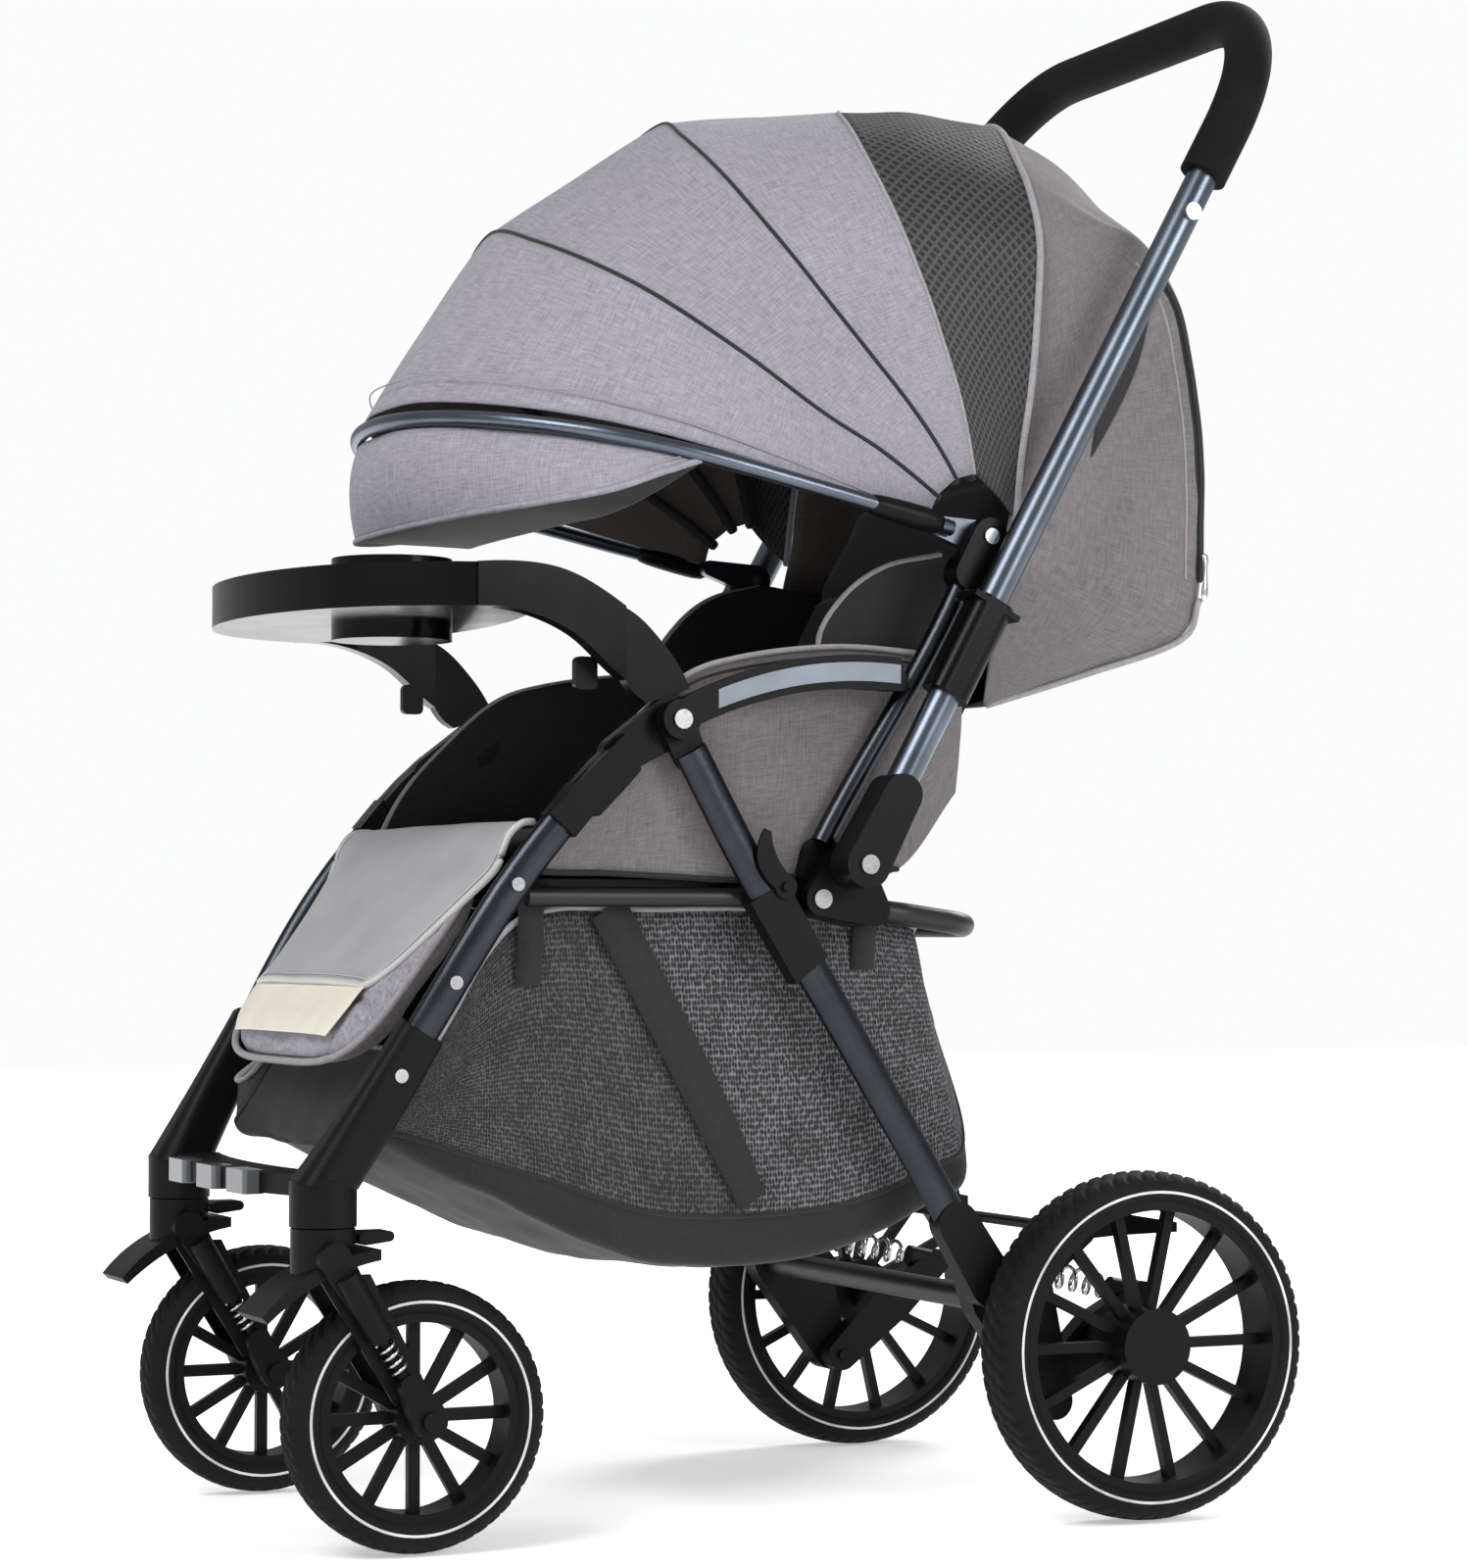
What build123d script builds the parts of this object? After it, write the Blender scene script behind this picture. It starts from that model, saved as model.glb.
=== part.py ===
"""Baby stroller with a reversible handle, folding canopy, tray and sprung wheels.

The stroller faces -Y, +X is its left side and +Z is up. The origin is on the floor in the
middle of the overall box. Every length is in millimetres.
"""
import os
from math import cos, radians, sin

from build123d import *

os.makedirs("parts", exist_ok=True)

# ---------------------------------------------------------------- driving dimensions
REAR_WHEEL = (226, 224, 120)       # centre of the left rear wheel
REAR_R, REAR_W = 120, 45
FRONT_WHEEL = (160, -285, 89)      # centre of the left front wheel
FRONT_R, FRONT_W = 89, 36
STEM_Y = -347                      # caster stem axis
PIVOT_A = (-112, 545)              # frame fold axis, (y, z)
HANDLE_H = (11, 449)               # handle flip axis
HUB_C = (-10, 426)                 # rear hub stud
LOCK_D = (-37, 434)                # fold lock pivot on the rear leg
CANOPY_P = (120, 676)              # canopy hinge axis
HANDLE_X = 219                     # centre of the side tubes of the handle
HANDLE_LEAN = 29                   # degrees back from upright
HANDLE_TOP = 712                   # length of the handle above its hinge
GRIP_START = 556
TUBE_R = 11
LEG_X = 189
REAR_LEG_X = 195
SEAT_HALF = 172
RAIL_Z = 427
RUN = 0.06                         # radial running clearance
CENTRE_Y = 11.44                   # moves the finished stroller to the middle of its box


def yz(x):
    """Side plane at distance x from the middle; local x is Y, local y is Z."""
    return Plane.YZ.offset(x)


def across(line):
    """Plane square to the start of a path, with its local x kept along X."""
    return Plane(origin=line @ 0, x_dir=(1, 0, 0), z_dir=line % 0)


# ================================================================ chassis: fasteners
with BuildPart() as frame_bolts:
    for (y, z), x0, length, r_pin, r_head in (
            (PIVOT_A, 176, 26.6, 4, 6.5), (HUB_C, 190, 14.4, 4, 6.5),
            (HANDLE_H, 190, 14.4, 4, 0), (CANOPY_P, 181, 22, 4, 5.5),
            ((-227, 435), 184, 12.5, 2.5, 4.5), ((-303, 311), 166, 19, 2.5, 4.5),
            ((-268, 371), 180, 11.7, 2.5, 4.5)):
        with BuildSketch(yz(x0)):
            with Locations((y, z)):
                Circle(r_pin)
        extrude(amount=length)
        if r_head:
            with BuildSketch(yz(x0 + length)):
                with Locations((y, z)):
                    Circle(r_head)
            extrude(amount=2.2)
    mirror(about=Plane.YZ)

# ================================================================ chassis: tubes
LEG_PATH = [(LEG_X, -148, 522), (LEG_X, -175, 496), (188.5, -227, 435), (184, -268, 371),
            (178, -288, 336)]
with BuildPart() as front_legs:
    with BuildLine() as leg_line:
        Spline(*LEG_PATH)
    with BuildSketch(across(leg_line.line)):
        Ellipse(7.5, 11.5)
    sweep()
    mirror(about=Plane.YZ)
    add(frame_bolts.part, mode=Mode.SUBTRACT)

with BuildPart() as seat_frame:
    for side in (1, -1):
        with BuildSketch(Plane.XZ.offset(214)):
            with Locations((side * 180, RAIL_Z)):
                Circle(6.5)
        extrude(amount=-194)
    for y in (-214, -120, 14):
        with BuildSketch(yz(-180)):
            with Locations((y if y > -200 else -207, RAIL_Z)):
                Circle(5.5)
        extrude(amount=360)

with BuildPart() as support_tubes:
    with BuildLine() as support_line:
        Spline((190, -4, 464), (190, 31, 522), (190, 63, 572), (190, 108, 655))
    with BuildSketch(across(support_line.line)):
        Circle(7.5)
    sweep()
    mirror(about=Plane.YZ)

with BuildPart() as u_bar:
    with BuildLine() as u_line:
        FilletPolyline((184, 32, 419), (184, 60, 416), (172, 124, 408), (-172, 124, 408),
                       (-184, 60, 416), (-184, 32, 419), radius=34)
    with BuildSketch(Plane(origin=u_line.line @ 0, z_dir=u_line.line % 0)):
        Circle(8)
    sweep()

with BuildPart() as hub_brackets:
    with BuildSketch(yz(176)):
        for (y, z), r in ((HUB_C, 11.5), ((-2, 456), 12), ((22, 420), 13)):
            with Locations((y, z)):
                Circle(r)
        make_hull()
    extrude(amount=14)
    with BuildSketch(yz(190)):
        for (y, z), r in ((HUB_C, 11.5), (HANDLE_H, 16), ((30, 419), 11)):
            with Locations((y, z)):
                Circle(r)
        make_hull()
    extrude(amount=14.4)
    mirror(about=Plane.YZ)
    add(seat_frame.part, mode=Mode.SUBTRACT)
    add(support_tubes.part, mode=Mode.SUBTRACT)
    add(u_bar.part, mode=Mode.SUBTRACT)
    add(frame_bolts.part, mode=Mode.SUBTRACT)

# ================================================================ chassis: front castings
with BuildPart() as front_castings:
    with BuildSketch(Plane((178, -286, 340), x_dir=(1, 0, 0), z_dir=(-0.25, -0.5, -0.85))):
        RectangleRounded(23, 31, 8)
    with BuildSketch(Plane((171, -317, 288), x_dir=(1, 0, 0), z_dir=(-0.2, -0.5, -0.85))):
        RectangleRounded(27, 34, 9)
    with BuildSketch(Plane((160, STEM_Y, 240), x_dir=(1, 0, 0), z_dir=(0, -0.1, -1))):
        RectangleRounded(42, 42, 14)
    loft()
    with BuildSketch(Plane.XY.offset(214)):
        with Locations((160, STEM_Y)):
            Circle(22)
    extrude(amount=30)
    with BuildSketch(Plane.XY.offset(213)):
        with Locations((160, STEM_Y)):
            Circle(8 + RUN)
    extrude(amount=24, mode=Mode.SUBTRACT)
    mirror(about=Plane.YZ)
    add(front_legs.part, mode=Mode.SUBTRACT)
    add(frame_bolts.part, mode=Mode.SUBTRACT)

with BuildPart() as footrest_bar:
    with BuildSketch(Plane.XY.offset(232)):
        with BuildLine():
            ThreePointArc((-146, -352), (0, -376), (146, -352))
            Line((146, -352), (146, -322))
            ThreePointArc((146, -322), (0, -338), (-146, -322))
            Line((-146, -322), (-146, -352))
        make_face()
    extrude(amount=14)
    add(front_castings.part, mode=Mode.SUBTRACT)

with BuildPart() as step_plates:
    for x, y, turn in ((-62, -371.6, -9), (10, -373.4, 2), (70, -371, 10)):
        with BuildSketch(Plane((x, y, 239), x_dir=(1, 0.002 * turn, 0), z_dir=(0, 0, 1))):
            RectangleRounded(38, 15, 3)
        extrude(amount=8, both=True)
    add(footrest_bar.part, mode=Mode.SUBTRACT)

# ================================================================ chassis: upper knuckles
with BuildPart() as knuckles:
    # flat cheek round the fold axis
    with BuildSketch(yz(176)):
        for (y, z), r in ((PIVOT_A, 17), ((-150, 521), 13)):
            with Locations((y, z)):
                Circle(r)
        make_hull()
    extrude(amount=11.5)
    # socket round the top of the front leg
    with BuildSketch(yz(178)):
        with BuildLine():
            Polyline((-150, 535), (-170, 517), (-187, 499), (-170, 480), (-151, 499),
                     (-140, 511), (-150, 535))
        make_face()
    extrude(amount=21)
    # webbing clip below the socket
    with BuildSketch(yz(179)):
        with BuildLine():
            Polyline((-186, 502), (-204, 481), (-187, 466), (-169, 487), close=True)
        make_face()
    extrude(amount=20)
    mirror(about=Plane.YZ)
    add(front_legs.part, mode=Mode.SUBTRACT)
    add(frame_bolts.part, mode=Mode.SUBTRACT)

TRAY_SPLIT = -147
with BuildPart() as tray_sockets:
    with BuildSketch(yz(176.5)):
        with BuildLine():
            Spline((TRAY_SPLIT + 0.5, 619), (-138, 614), (-122, 599), (-109, 583), (-100, 566))
            Line((-100, 566), (-131, 556))
            Spline((-131, 556), (-139, 561), (TRAY_SPLIT + 0.5, 571))
            Line((TRAY_SPLIT + 0.5, 571), (TRAY_SPLIT + 0.5, 619))
        make_face()
    extrude(amount=11)
    with BuildSketch(yz(179)):
        with Locations((TRAY_SPLIT - 7, 596)):
            Rectangle(16, 24)
    extrude(amount=6)
    mirror(about=Plane.YZ)
    add(knuckles.part, mode=Mode.SUBTRACT)

# ================================================================ chassis: armrests
ARM_MID = [(-112, 547), (-86, 559), (-53, 570), (-20, 577), (14, 580), (50, 579)]
with BuildPart() as armrests:
    with BuildSketch(yz(193.6)):
        with BuildLine():
            Spline(*[(y, z + 11.5) for y, z in ARM_MID])
            Line((50, 590.5), (58, 568))
            Line((58, 568), (50, 567.5))
            Spline(*[(y, z - 11.5) for y, z in reversed(ARM_MID)])
            Line((-112, 535.5), (-112, 558.5))
        make_face()
        with Locations(PIVOT_A):
            Circle(13.5)
    extrude(amount=9)
    with BuildSketch(yz(179)):
        with BuildLine():
            Spline(*[(y, z + 10.8) for y, z in ARM_MID[2:]])
            Line((50, 589.8), (50, 568.2))
            Spline(*[(y, z - 10.8) for y, z in reversed(ARM_MID[2:])])
            Line((-53, 559.2), (-53, 580.8))
        make_face()
    extrude(amount=15.6)
    with BuildSketch(yz(201.4)):
        with BuildLine():
            Spline(*[(y, z + 6.6) for y, z in ARM_MID[1:]])
            Line((50, 585.6), (50, 572.4))
            Spline(*[(y, z - 6.6) for y, z in reversed(ARM_MID[1:])])
            Line((-86, 552.4), (-86, 565.6))
        make_face()
    extrude(amount=2, mode=Mode.SUBTRACT)
    mirror(about=Plane.YZ)
    add(support_tubes.part, mode=Mode.SUBTRACT)
    add(frame_bolts.part, mode=Mode.SUBTRACT)

with BuildPart() as armrest_inlays:
    with BuildSketch(yz(201.4)):
        with BuildLine():
            Spline(*[(y, z + 6.4) for y, z in ARM_MID[1:]])
            Line((50, 585.4), (50, 572.6))
            Spline(*[(y, z - 6.4) for y, z in reversed(ARM_MID[1:])])
            Line((-86, 552.6), (-86, 565.4))
        make_face()
    extrude(amount=1.9)
    mirror(about=Plane.YZ)

# ================================================================ chassis: canopy brackets
with BuildPart() as canopy_brackets:
    with BuildSketch(yz(183)):
        for (y, z), r in ((CANOPY_P, 13), ((104, 650), 11)):
            with Locations((y, z)):
                Circle(r)
        make_hull()
    extrude(amount=20)
    with BuildSketch(yz(180)):
        with Locations(CANOPY_P):
            Circle(26)
    extrude(amount=9.6, mode=Mode.SUBTRACT)
    mirror(about=Plane.YZ)
    add(support_tubes.part, mode=Mode.SUBTRACT)
    add(frame_bolts.part, mode=Mode.SUBTRACT)

# ================================================================ rear frame (swings about A)
REAR_PATH = [(-103, 524), (-88, 497), (-69, 463), (-47, 427), (-18, 384), (31, 307), (74, 238),
             (118, 165)]
with BuildPart() as rear_legs:
    with BuildLine() as rear_line:
        Spline(*[(REAR_LEG_X, y, z) for y, z in REAR_PATH])
    with BuildSketch(across(rear_line.line)):
        Ellipse(6.8, 12)
    sweep()
    mirror(about=Plane.YZ)

with BuildPart() as rear_sleeves:
    # head that turns on the fold pin
    with BuildSketch(yz(188)):
        for (y, z), r in ((PIVOT_A, 13), ((-102, 522), 11.5)):
            with Locations((y, z)):
                Circle(r)
        make_hull()
        with Locations(PIVOT_A):
            Circle(4 + RUN, mode=Mode.SUBTRACT)
    extrude(amount=5.3)
    # sleeve that rests against the hub, with the ear of the fold lock
    with BuildSketch(yz(187)):
        with BuildLine():
            Polyline((-62, 423), (-36, 439), (-5, 387), (-28, 369), close=True)
        make_face()
    extrude(amount=15.2)
    with BuildSketch(yz(189)):
        for (y, z), r in ((LOCK_D, 8.5), ((-44, 424), 9)):
            with Locations((y, z)):
                Circle(r)
        make_hull()
    extrude(amount=12.5)
    with BuildSketch(yz(201.5)):
        with Locations(LOCK_D):
            Circle(3.2)
    extrude(amount=6.2)
    mirror(about=Plane.YZ)
    add(rear_legs.part, mode=Mode.SUBTRACT)

PEDAL_AXIS = (200, 196)
ARM_PIVOT = (178, 79)
SPRING_EAR = (163, 170)
SPRING_EYE = (262, 148)
with BuildPart() as rear_cross_tube:
    with BuildSketch(yz(-170)):
        with Locations((131, 150)):
            Circle(9)
    extrude(amount=340)

with BuildPart() as rear_housings:
    with BuildSketch(yz(168)):
        for group in (((118, 176, 14), (131, 150, 18), (178, 79, 13)),
                      ((131, 150, 18), (163, 170, 10), (200, 196, 10)),
                      ((131, 150, 18), (163, 170, 10), (178, 79, 13))):
            with BuildSketch(mode=Mode.PRIVATE) as web:
                for y, z, r in group:
                    with Locations((y, z)):
                        Circle(r)
                make_hull()
            add(web.sketch)
    extrude(amount=19)
    # socket for the foot of the leg
    with BuildSketch(yz(187)):
        for y, z, r in ((94, 205, 15), (120, 164, 17)):
            with Locations((y, z)):
                Circle(r)
        make_hull()
    extrude(amount=15.8)
    # ear of the spring and stub of the trailing arm
    with BuildSketch(yz(147)):
        with Locations(SPRING_EAR):
            Circle(8)
    extrude(amount=22)
    with BuildSketch(yz(145)):
        with Locations(ARM_PIVOT):
            Circle(4)
    extrude(amount=24)
    with BuildSketch(yz(167)):
        with Locations(PEDAL_AXIS):
            Circle(4 + RUN)
    extrude(amount=21, mode=Mode.SUBTRACT)
    mirror(about=Plane.YZ)
    add(rear_legs.part, mode=Mode.SUBTRACT)
    add(rear_cross_tube.part, mode=Mode.SUBTRACT)

with BuildPart() as brake_pedals:
    with BuildSketch(yz(150)):
        with BuildLine():
            Polyline((194, 205), (240, 206), (288, 198), (288, 191), (240, 190), (194, 187),
                     close=True)
        make_face()
    extrude(amount=16)
    mirror(about=Plane.YZ)
    with BuildSketch(yz(-186)):
        with Locations(PEDAL_AXIS):
            Circle(4)
    extrude(amount=372)

with BuildPart() as fold_hooks:
    with BuildSketch(yz(202.6)):
        with Locations(LOCK_D):
            Circle(8)
        with BuildLine():
            Spline((-45, 433), (-58, 452), (-53, 473))
            Line((-53, 473), (-48, 471))
            Spline((-48, 471), (-44, 455), (-31, 439))
            Line((-31, 439), (-45, 433))
        make_face()
        with Locations(LOCK_D):
            Circle(3.2 + RUN, mode=Mode.SUBTRACT)
    extrude(amount=2.2)
    mirror(about=Plane.YZ)


def save(part, name):
    """Centre one sub-part in the overall box, name it and write it as a STEP file."""
    part = part.moved(Location((0, CENTRE_Y, 0)))
    part.label = name
    export_step(part, f"parts/{name}.step")


# ================================================================ wheels and suspension
SIDES = (("left", 1), ("right", -1))
STRUT_TOP = (-341, 184)
STRUT_DIR = (0.508, -0.861)
SPRING_FROM, SPRING_TO = 48.5, 79.5


def strut_plane(x, s):
    """Plane square to the front strut at distance s down from its top."""
    return Plane((x, STRUT_TOP[0] + STRUT_DIR[0] * s, STRUT_TOP[1] + STRUT_DIR[1] * s),
                 x_dir=(1, 0, 0), z_dir=(0, *STRUT_DIR))


for side_name, side in SIDES:
    for axle_end, wheel, radius, width, bore, spokes in (
            ("rear", REAR_WHEEL, REAR_R, REAR_W, 6 + RUN, 14),
            ("front", FRONT_WHEEL, FRONT_R, FRONT_W, 4 + RUN, 12)):
        x, y, z = wheel
        x *= side
        half = width / 2
        seat = radius - 21                    # rim radius under the tyre
        wheel_axis = Axis((x, y, z), (1, 0, 0))
        with BuildPart() as tyre:
            with BuildSketch(Plane((x, y, z), x_dir=(1, 0, 0), z_dir=(0, 1, 0))):
                with BuildLine():
                    Polyline((-half + 3, -seat), (half - 3, -seat))
                    ThreePointArc((half - 3, -seat), (half, -seat - 9), (half - 5, -radius + 4))
                    ThreePointArc((half - 5, -radius + 4), (0, -radius), (-half + 5, -radius + 4))
                    ThreePointArc((-half + 5, -radius + 4), (-half, -seat - 9), (-half + 3, -seat))
                make_face()
            revolve(axis=wheel_axis)
        save(tyre.part, f"{axle_end}_tyre_{side_name}")

        hub_r = 26 if axle_end == "rear" else 17
        hub_half = half - 1.5 if axle_end == "rear" else half - 2
        with BuildPart() as rim:
            with BuildSketch(yz(x - half + 3)):
                with Locations((y, z)):
                    Circle(seat)
                    Circle(seat - 6, mode=Mode.SUBTRACT)
            extrude(amount=width - 6)
            with BuildSketch(yz(x - hub_half)):
                with Locations((y, z)):
                    Circle(hub_r)
            extrude(amount=2 * hub_half)
            with BuildSketch(yz(x)):
                with Locations((y, z)):
                    with PolarLocations((hub_r + seat - 6) / 2 + 0.5, spokes):
                        SlotOverall(seat - hub_r - 1, 7 if axle_end == "rear" else 8)
            extrude(amount=4 if axle_end == "rear" else 3, both=True)
            cap = 4 if axle_end == "rear" else 0
            start = x - half - 1 if side > 0 else x - half - 1 + cap
            with BuildSketch(yz(start)):
                with Locations((y, z)):
                    Circle(bore)
            extrude(amount=width + 2 - cap, mode=Mode.SUBTRACT)
        save(rim.part, f"{axle_end}_rim_{side_name}")

    # ------------------------------------------------ rear trailing arm and its spring
    with BuildPart() as rear_arm:
        with BuildSketch(yz(148)):
            for (py, pz), r in ((ARM_PIVOT, 12), (REAR_WHEEL[1:], 16), (SPRING_EYE, 9)):
                with Locations((py, pz)):
                    Circle(r)
            make_hull()
            with Locations(ARM_PIVOT):
                Circle(4 + RUN, mode=Mode.SUBTRACT)
        extrude(amount=15)
        with BuildSketch(Plane((155.5, 238, 153.3), x_dir=(1, 0, 0), z_dir=(0, 99, -22))):
            Circle(7.5)
        extrude(amount=20)
        with BuildSketch(yz(163)):
            with Locations(REAR_WHEEL[1:]):
                Circle(6)
        extrude(amount=79)
        with BuildSketch(yz(163)):
            with Locations(REAR_WHEEL[1:]):
                Circle(12)
        extrude(amount=40)
        if side < 0:
            mirror(about=Plane.YZ, mode=Mode.REPLACE)
    save(rear_arm.part, f"rear_arm_{side_name}")

    run_y, run_z = SPRING_EYE[0] - SPRING_EAR[0], SPRING_EYE[1] - SPRING_EAR[1]
    span = (run_y ** 2 + run_z ** 2) ** 0.5
    coil = Plane((side * 155.5, SPRING_EAR[0] + run_y * 9.5 / span, SPRING_EAR[1] + run_z * 9.5 / span),
                 x_dir=(1, 0, 0), z_dir=(0, run_y, run_z))
    with BuildPart() as rear_spring:
        with BuildLine() as rear_helix:
            Helix(pitch=11, height=64, radius=8, center=coil.origin, direction=coil.z_dir)
        with BuildSketch(Plane(rear_helix.line @ 0, z_dir=rear_helix.line % 0)):
            Circle(1.6)
        sweep(is_frenet=True)
    save(rear_spring.part, f"rear_spring_{side_name}")

    # ------------------------------------------------ front fork, slider, springs and lock
    with BuildPart() as caster_fork:
        with BuildSketch(Plane.XY.offset(184)):
            with Locations((160, STEM_Y)):
                Circle(21)
        extrude(amount=29)
        with BuildSketch(Plane.XY.offset(213)):
            with Locations((160, STEM_Y)):
                Circle(8)
        extrude(amount=23)
        # mudguard lip over the tyre
        with BuildSketch(yz(134)):
            with BuildLine():
                Spline((-396, 159), (-380, 175), (-355, 190), (-330, 198), (-316, 200))
                Line((-316, 200), (-316, 193))
                Spline((-316, 193), (-330, 190), (-352, 182), (-376, 168), (-392, 155))
                Line((-392, 155), (-396, 159))
            make_face()
        extrude(amount=52)
        # cheeks, strut barrels and the backing plates of the springs
        for x0, xc, x_plate in ((181.5, 190, 179.6), (130, 130, 138)):
            with BuildSketch(yz(x0)):
                for py, pz, r in ((-348, 194, 11), (-331, 166, 8.4)):
                    with Locations((py, pz)):
                        Circle(r)
                make_hull()
            extrude(amount=8.5)
            with BuildSketch(strut_plane(xc, 0)):
                Circle(8.5)
            extrude(amount=48)
            with BuildSketch(strut_plane(xc, 20)):
                Circle(3.6)
            extrude(amount=30, mode=Mode.SUBTRACT)
            with BuildSketch(yz(x_plate)):
                with BuildLine():
                    Polyline((-358, 184), (-322, 184), (-283.5, 110.9), (-305, 98.7), close=True)
                make_face()
            extrude(amount=2.4)
        if side < 0:
            mirror(about=Plane.YZ, mode=Mode.REPLACE)
    save(caster_fork.part, f"caster_fork_{side_name}")

    with BuildPart() as front_slider:
        for xc in (190, 130):
            with BuildSketch(yz(xc - 6.2)):
                for py, pz, r in ((-298.3, 111.7, 8), (FRONT_WHEEL[1], FRONT_WHEEL[2], 11)):
                    with Locations((py, pz)):
                        Circle(r)
                make_hull()
            extrude(amount=12.4)
            with BuildSketch(strut_plane(xc, 31)):
                Circle(3.5)
            extrude(amount=52)
        with BuildSketch(yz(120)):
            with Locations(FRONT_WHEEL[1:]):
                Circle(4)
        extrude(amount=80)
        for x0 in (120, 196.2):
            with BuildSketch(yz(x0)):
                with Locations(FRONT_WHEEL[1:]):
                    Circle(6.5)
            extrude(amount=3.8)
        if side < 0:
            mirror(about=Plane.YZ, mode=Mode.REPLACE)
    save(front_slider.part, f"front_slider_{side_name}")

    with BuildPart() as front_spring:
        for xc in (190, 130):
            coil = strut_plane(side * xc, SPRING_FROM + 1.3)
            with BuildLine() as helix:
                Helix(pitch=5.4, height=SPRING_TO - SPRING_FROM - 7.5, radius=5.4,
                      center=coil.origin, direction=coil.z_dir)
            with BuildSketch(Plane(helix.line @ 0, z_dir=helix.line % 0)):
                Circle(1.1)
            sweep(is_frenet=True)
    save(front_spring.part, f"front_spring_{side_name}")

    with BuildPart() as caster_lock:
        with BuildSketch(yz(150)):
            for py, pz, r in ((-321, 206, 4.5), (-305, 207, 3.5)):
                with Locations((py, pz)):
                    Circle(r)
            make_hull()
        extrude(amount=20)
        if side < 0:
            mirror(about=Plane.YZ, mode=Mode.REPLACE)
    save(caster_lock.part, f"caster_lock_{side_name}")

# ================================================================ reversible handle
lean_s, lean_c = sin(radians(HANDLE_LEAN)), cos(radians(HANDLE_LEAN))
handle_plane = Plane((0, HANDLE_H[0], HANDLE_H[1]), x_dir=(1, 0, 0), z_dir=(0, -lean_c, lean_s))


def on_handle(s):
    """(y, z) of the point s along the handle from its hinge."""
    return HANDLE_H[0] + s * lean_s, HANDLE_H[1] + s * lean_c


def tube_corners(low):
    """Half loop of the handle from distance low up to the top bar and down again."""
    x = HANDLE_X
    return [(x, low), (x, HANDLE_TOP), (-x, HANDLE_TOP), (-x, low)]


with BuildPart() as handle_tube:
    with BuildLine(handle_plane) as handle_line:
        FilletPolyline(*tube_corners(-4), radius=118)
    with BuildSketch(Plane(handle_line.line @ 0, z_dir=handle_line.line % 0)):
        Circle(TUBE_R)
    sweep()

with BuildPart() as foam_grip:
    with BuildLine(handle_plane) as grip_line:
        FilletPolyline(*tube_corners(GRIP_START), radius=118)
    with BuildSketch(Plane(grip_line.line @ 0, z_dir=grip_line.line % 0)):
        Circle(17)
    sweep()
    with BuildLine(handle_plane) as bore_line:
        FilletPolyline(*tube_corners(GRIP_START - 10), radius=118)
    with BuildSketch(Plane(bore_line.line @ 0, z_dir=bore_line.line % 0)):
        Circle(TUBE_R)
    sweep(mode=Mode.SUBTRACT)

with BuildPart() as handle_brackets:
    with BuildSketch(yz(205)):
        for s, r in ((0, 16), (54, 14)):
            with Locations(on_handle(s)):
                Circle(r)
        make_hull()
    extrude(amount=28)
    mirror(about=Plane.YZ)
    add(handle_tube.part, mode=Mode.SUBTRACT)

with BuildPart() as handle_bolts:
    for s, x0, r in ((0, 233, 6.5), (524, 229, 6)):
        with BuildSketch(yz(x0)):
            with Locations(on_handle(s)):
                Circle(r)
        extrude(amount=2.6 if s == 0 else 4)
    mirror(about=Plane.YZ)
    add(handle_tube.part, mode=Mode.SUBTRACT)

SLEEVE_FROM, SLEEVE_TO = 132, 206
for side_name, side in SIDES:
    with BuildPart() as lock_sleeve:
        with BuildSketch(handle_plane):
            with Locations((side * HANDLE_X, (SLEEVE_FROM + SLEEVE_TO) / 2)):
                Rectangle(28.6, SLEEVE_TO - SLEEVE_FROM)
        extrude(amount=15, both=True)
        fillet(lock_sleeve.edges().filter_by(Axis((0, 0, 0), (0, lean_s, lean_c))), 9)
        with BuildSketch(handle_plane.offset(0)):
            with Locations((side * HANDLE_X, SLEEVE_TO - 4)):
                Rectangle(28.6, 4)
        extrude(amount=19, both=True)
        bore_y, bore_z = on_handle(SLEEVE_FROM - 5)
        with BuildSketch(Plane((side * HANDLE_X, bore_y, bore_z), z_dir=(0, lean_s, lean_c))):
            Circle(TUBE_R + 0.1)
        extrude(amount=90, mode=Mode.SUBTRACT)
    save(lock_sleeve.part, f"lock_sleeve_{side_name}")

# ================================================================ folding canopy
PANEL_STEP = 24
BOW_ANGLE = 12


def fan(angle):
    """Plane through the canopy hinge, angle degrees up from straight ahead."""
    a = radians(angle)
    return Plane((0, *CANOPY_P), x_dir=(1, 0, 0), z_dir=(0, -sin(a), -cos(a)))


CURVE_FROM = 200                   # the hoops run straight this far, then curve over


def hoop(half_w, reach, turn):
    """(x, r) on the rounded end of a canopy hoop, turn degrees round from its left side."""
    return half_w * cos(radians(turn)), CURVE_FROM + (reach - CURVE_FROM) * sin(radians(turn))


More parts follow.
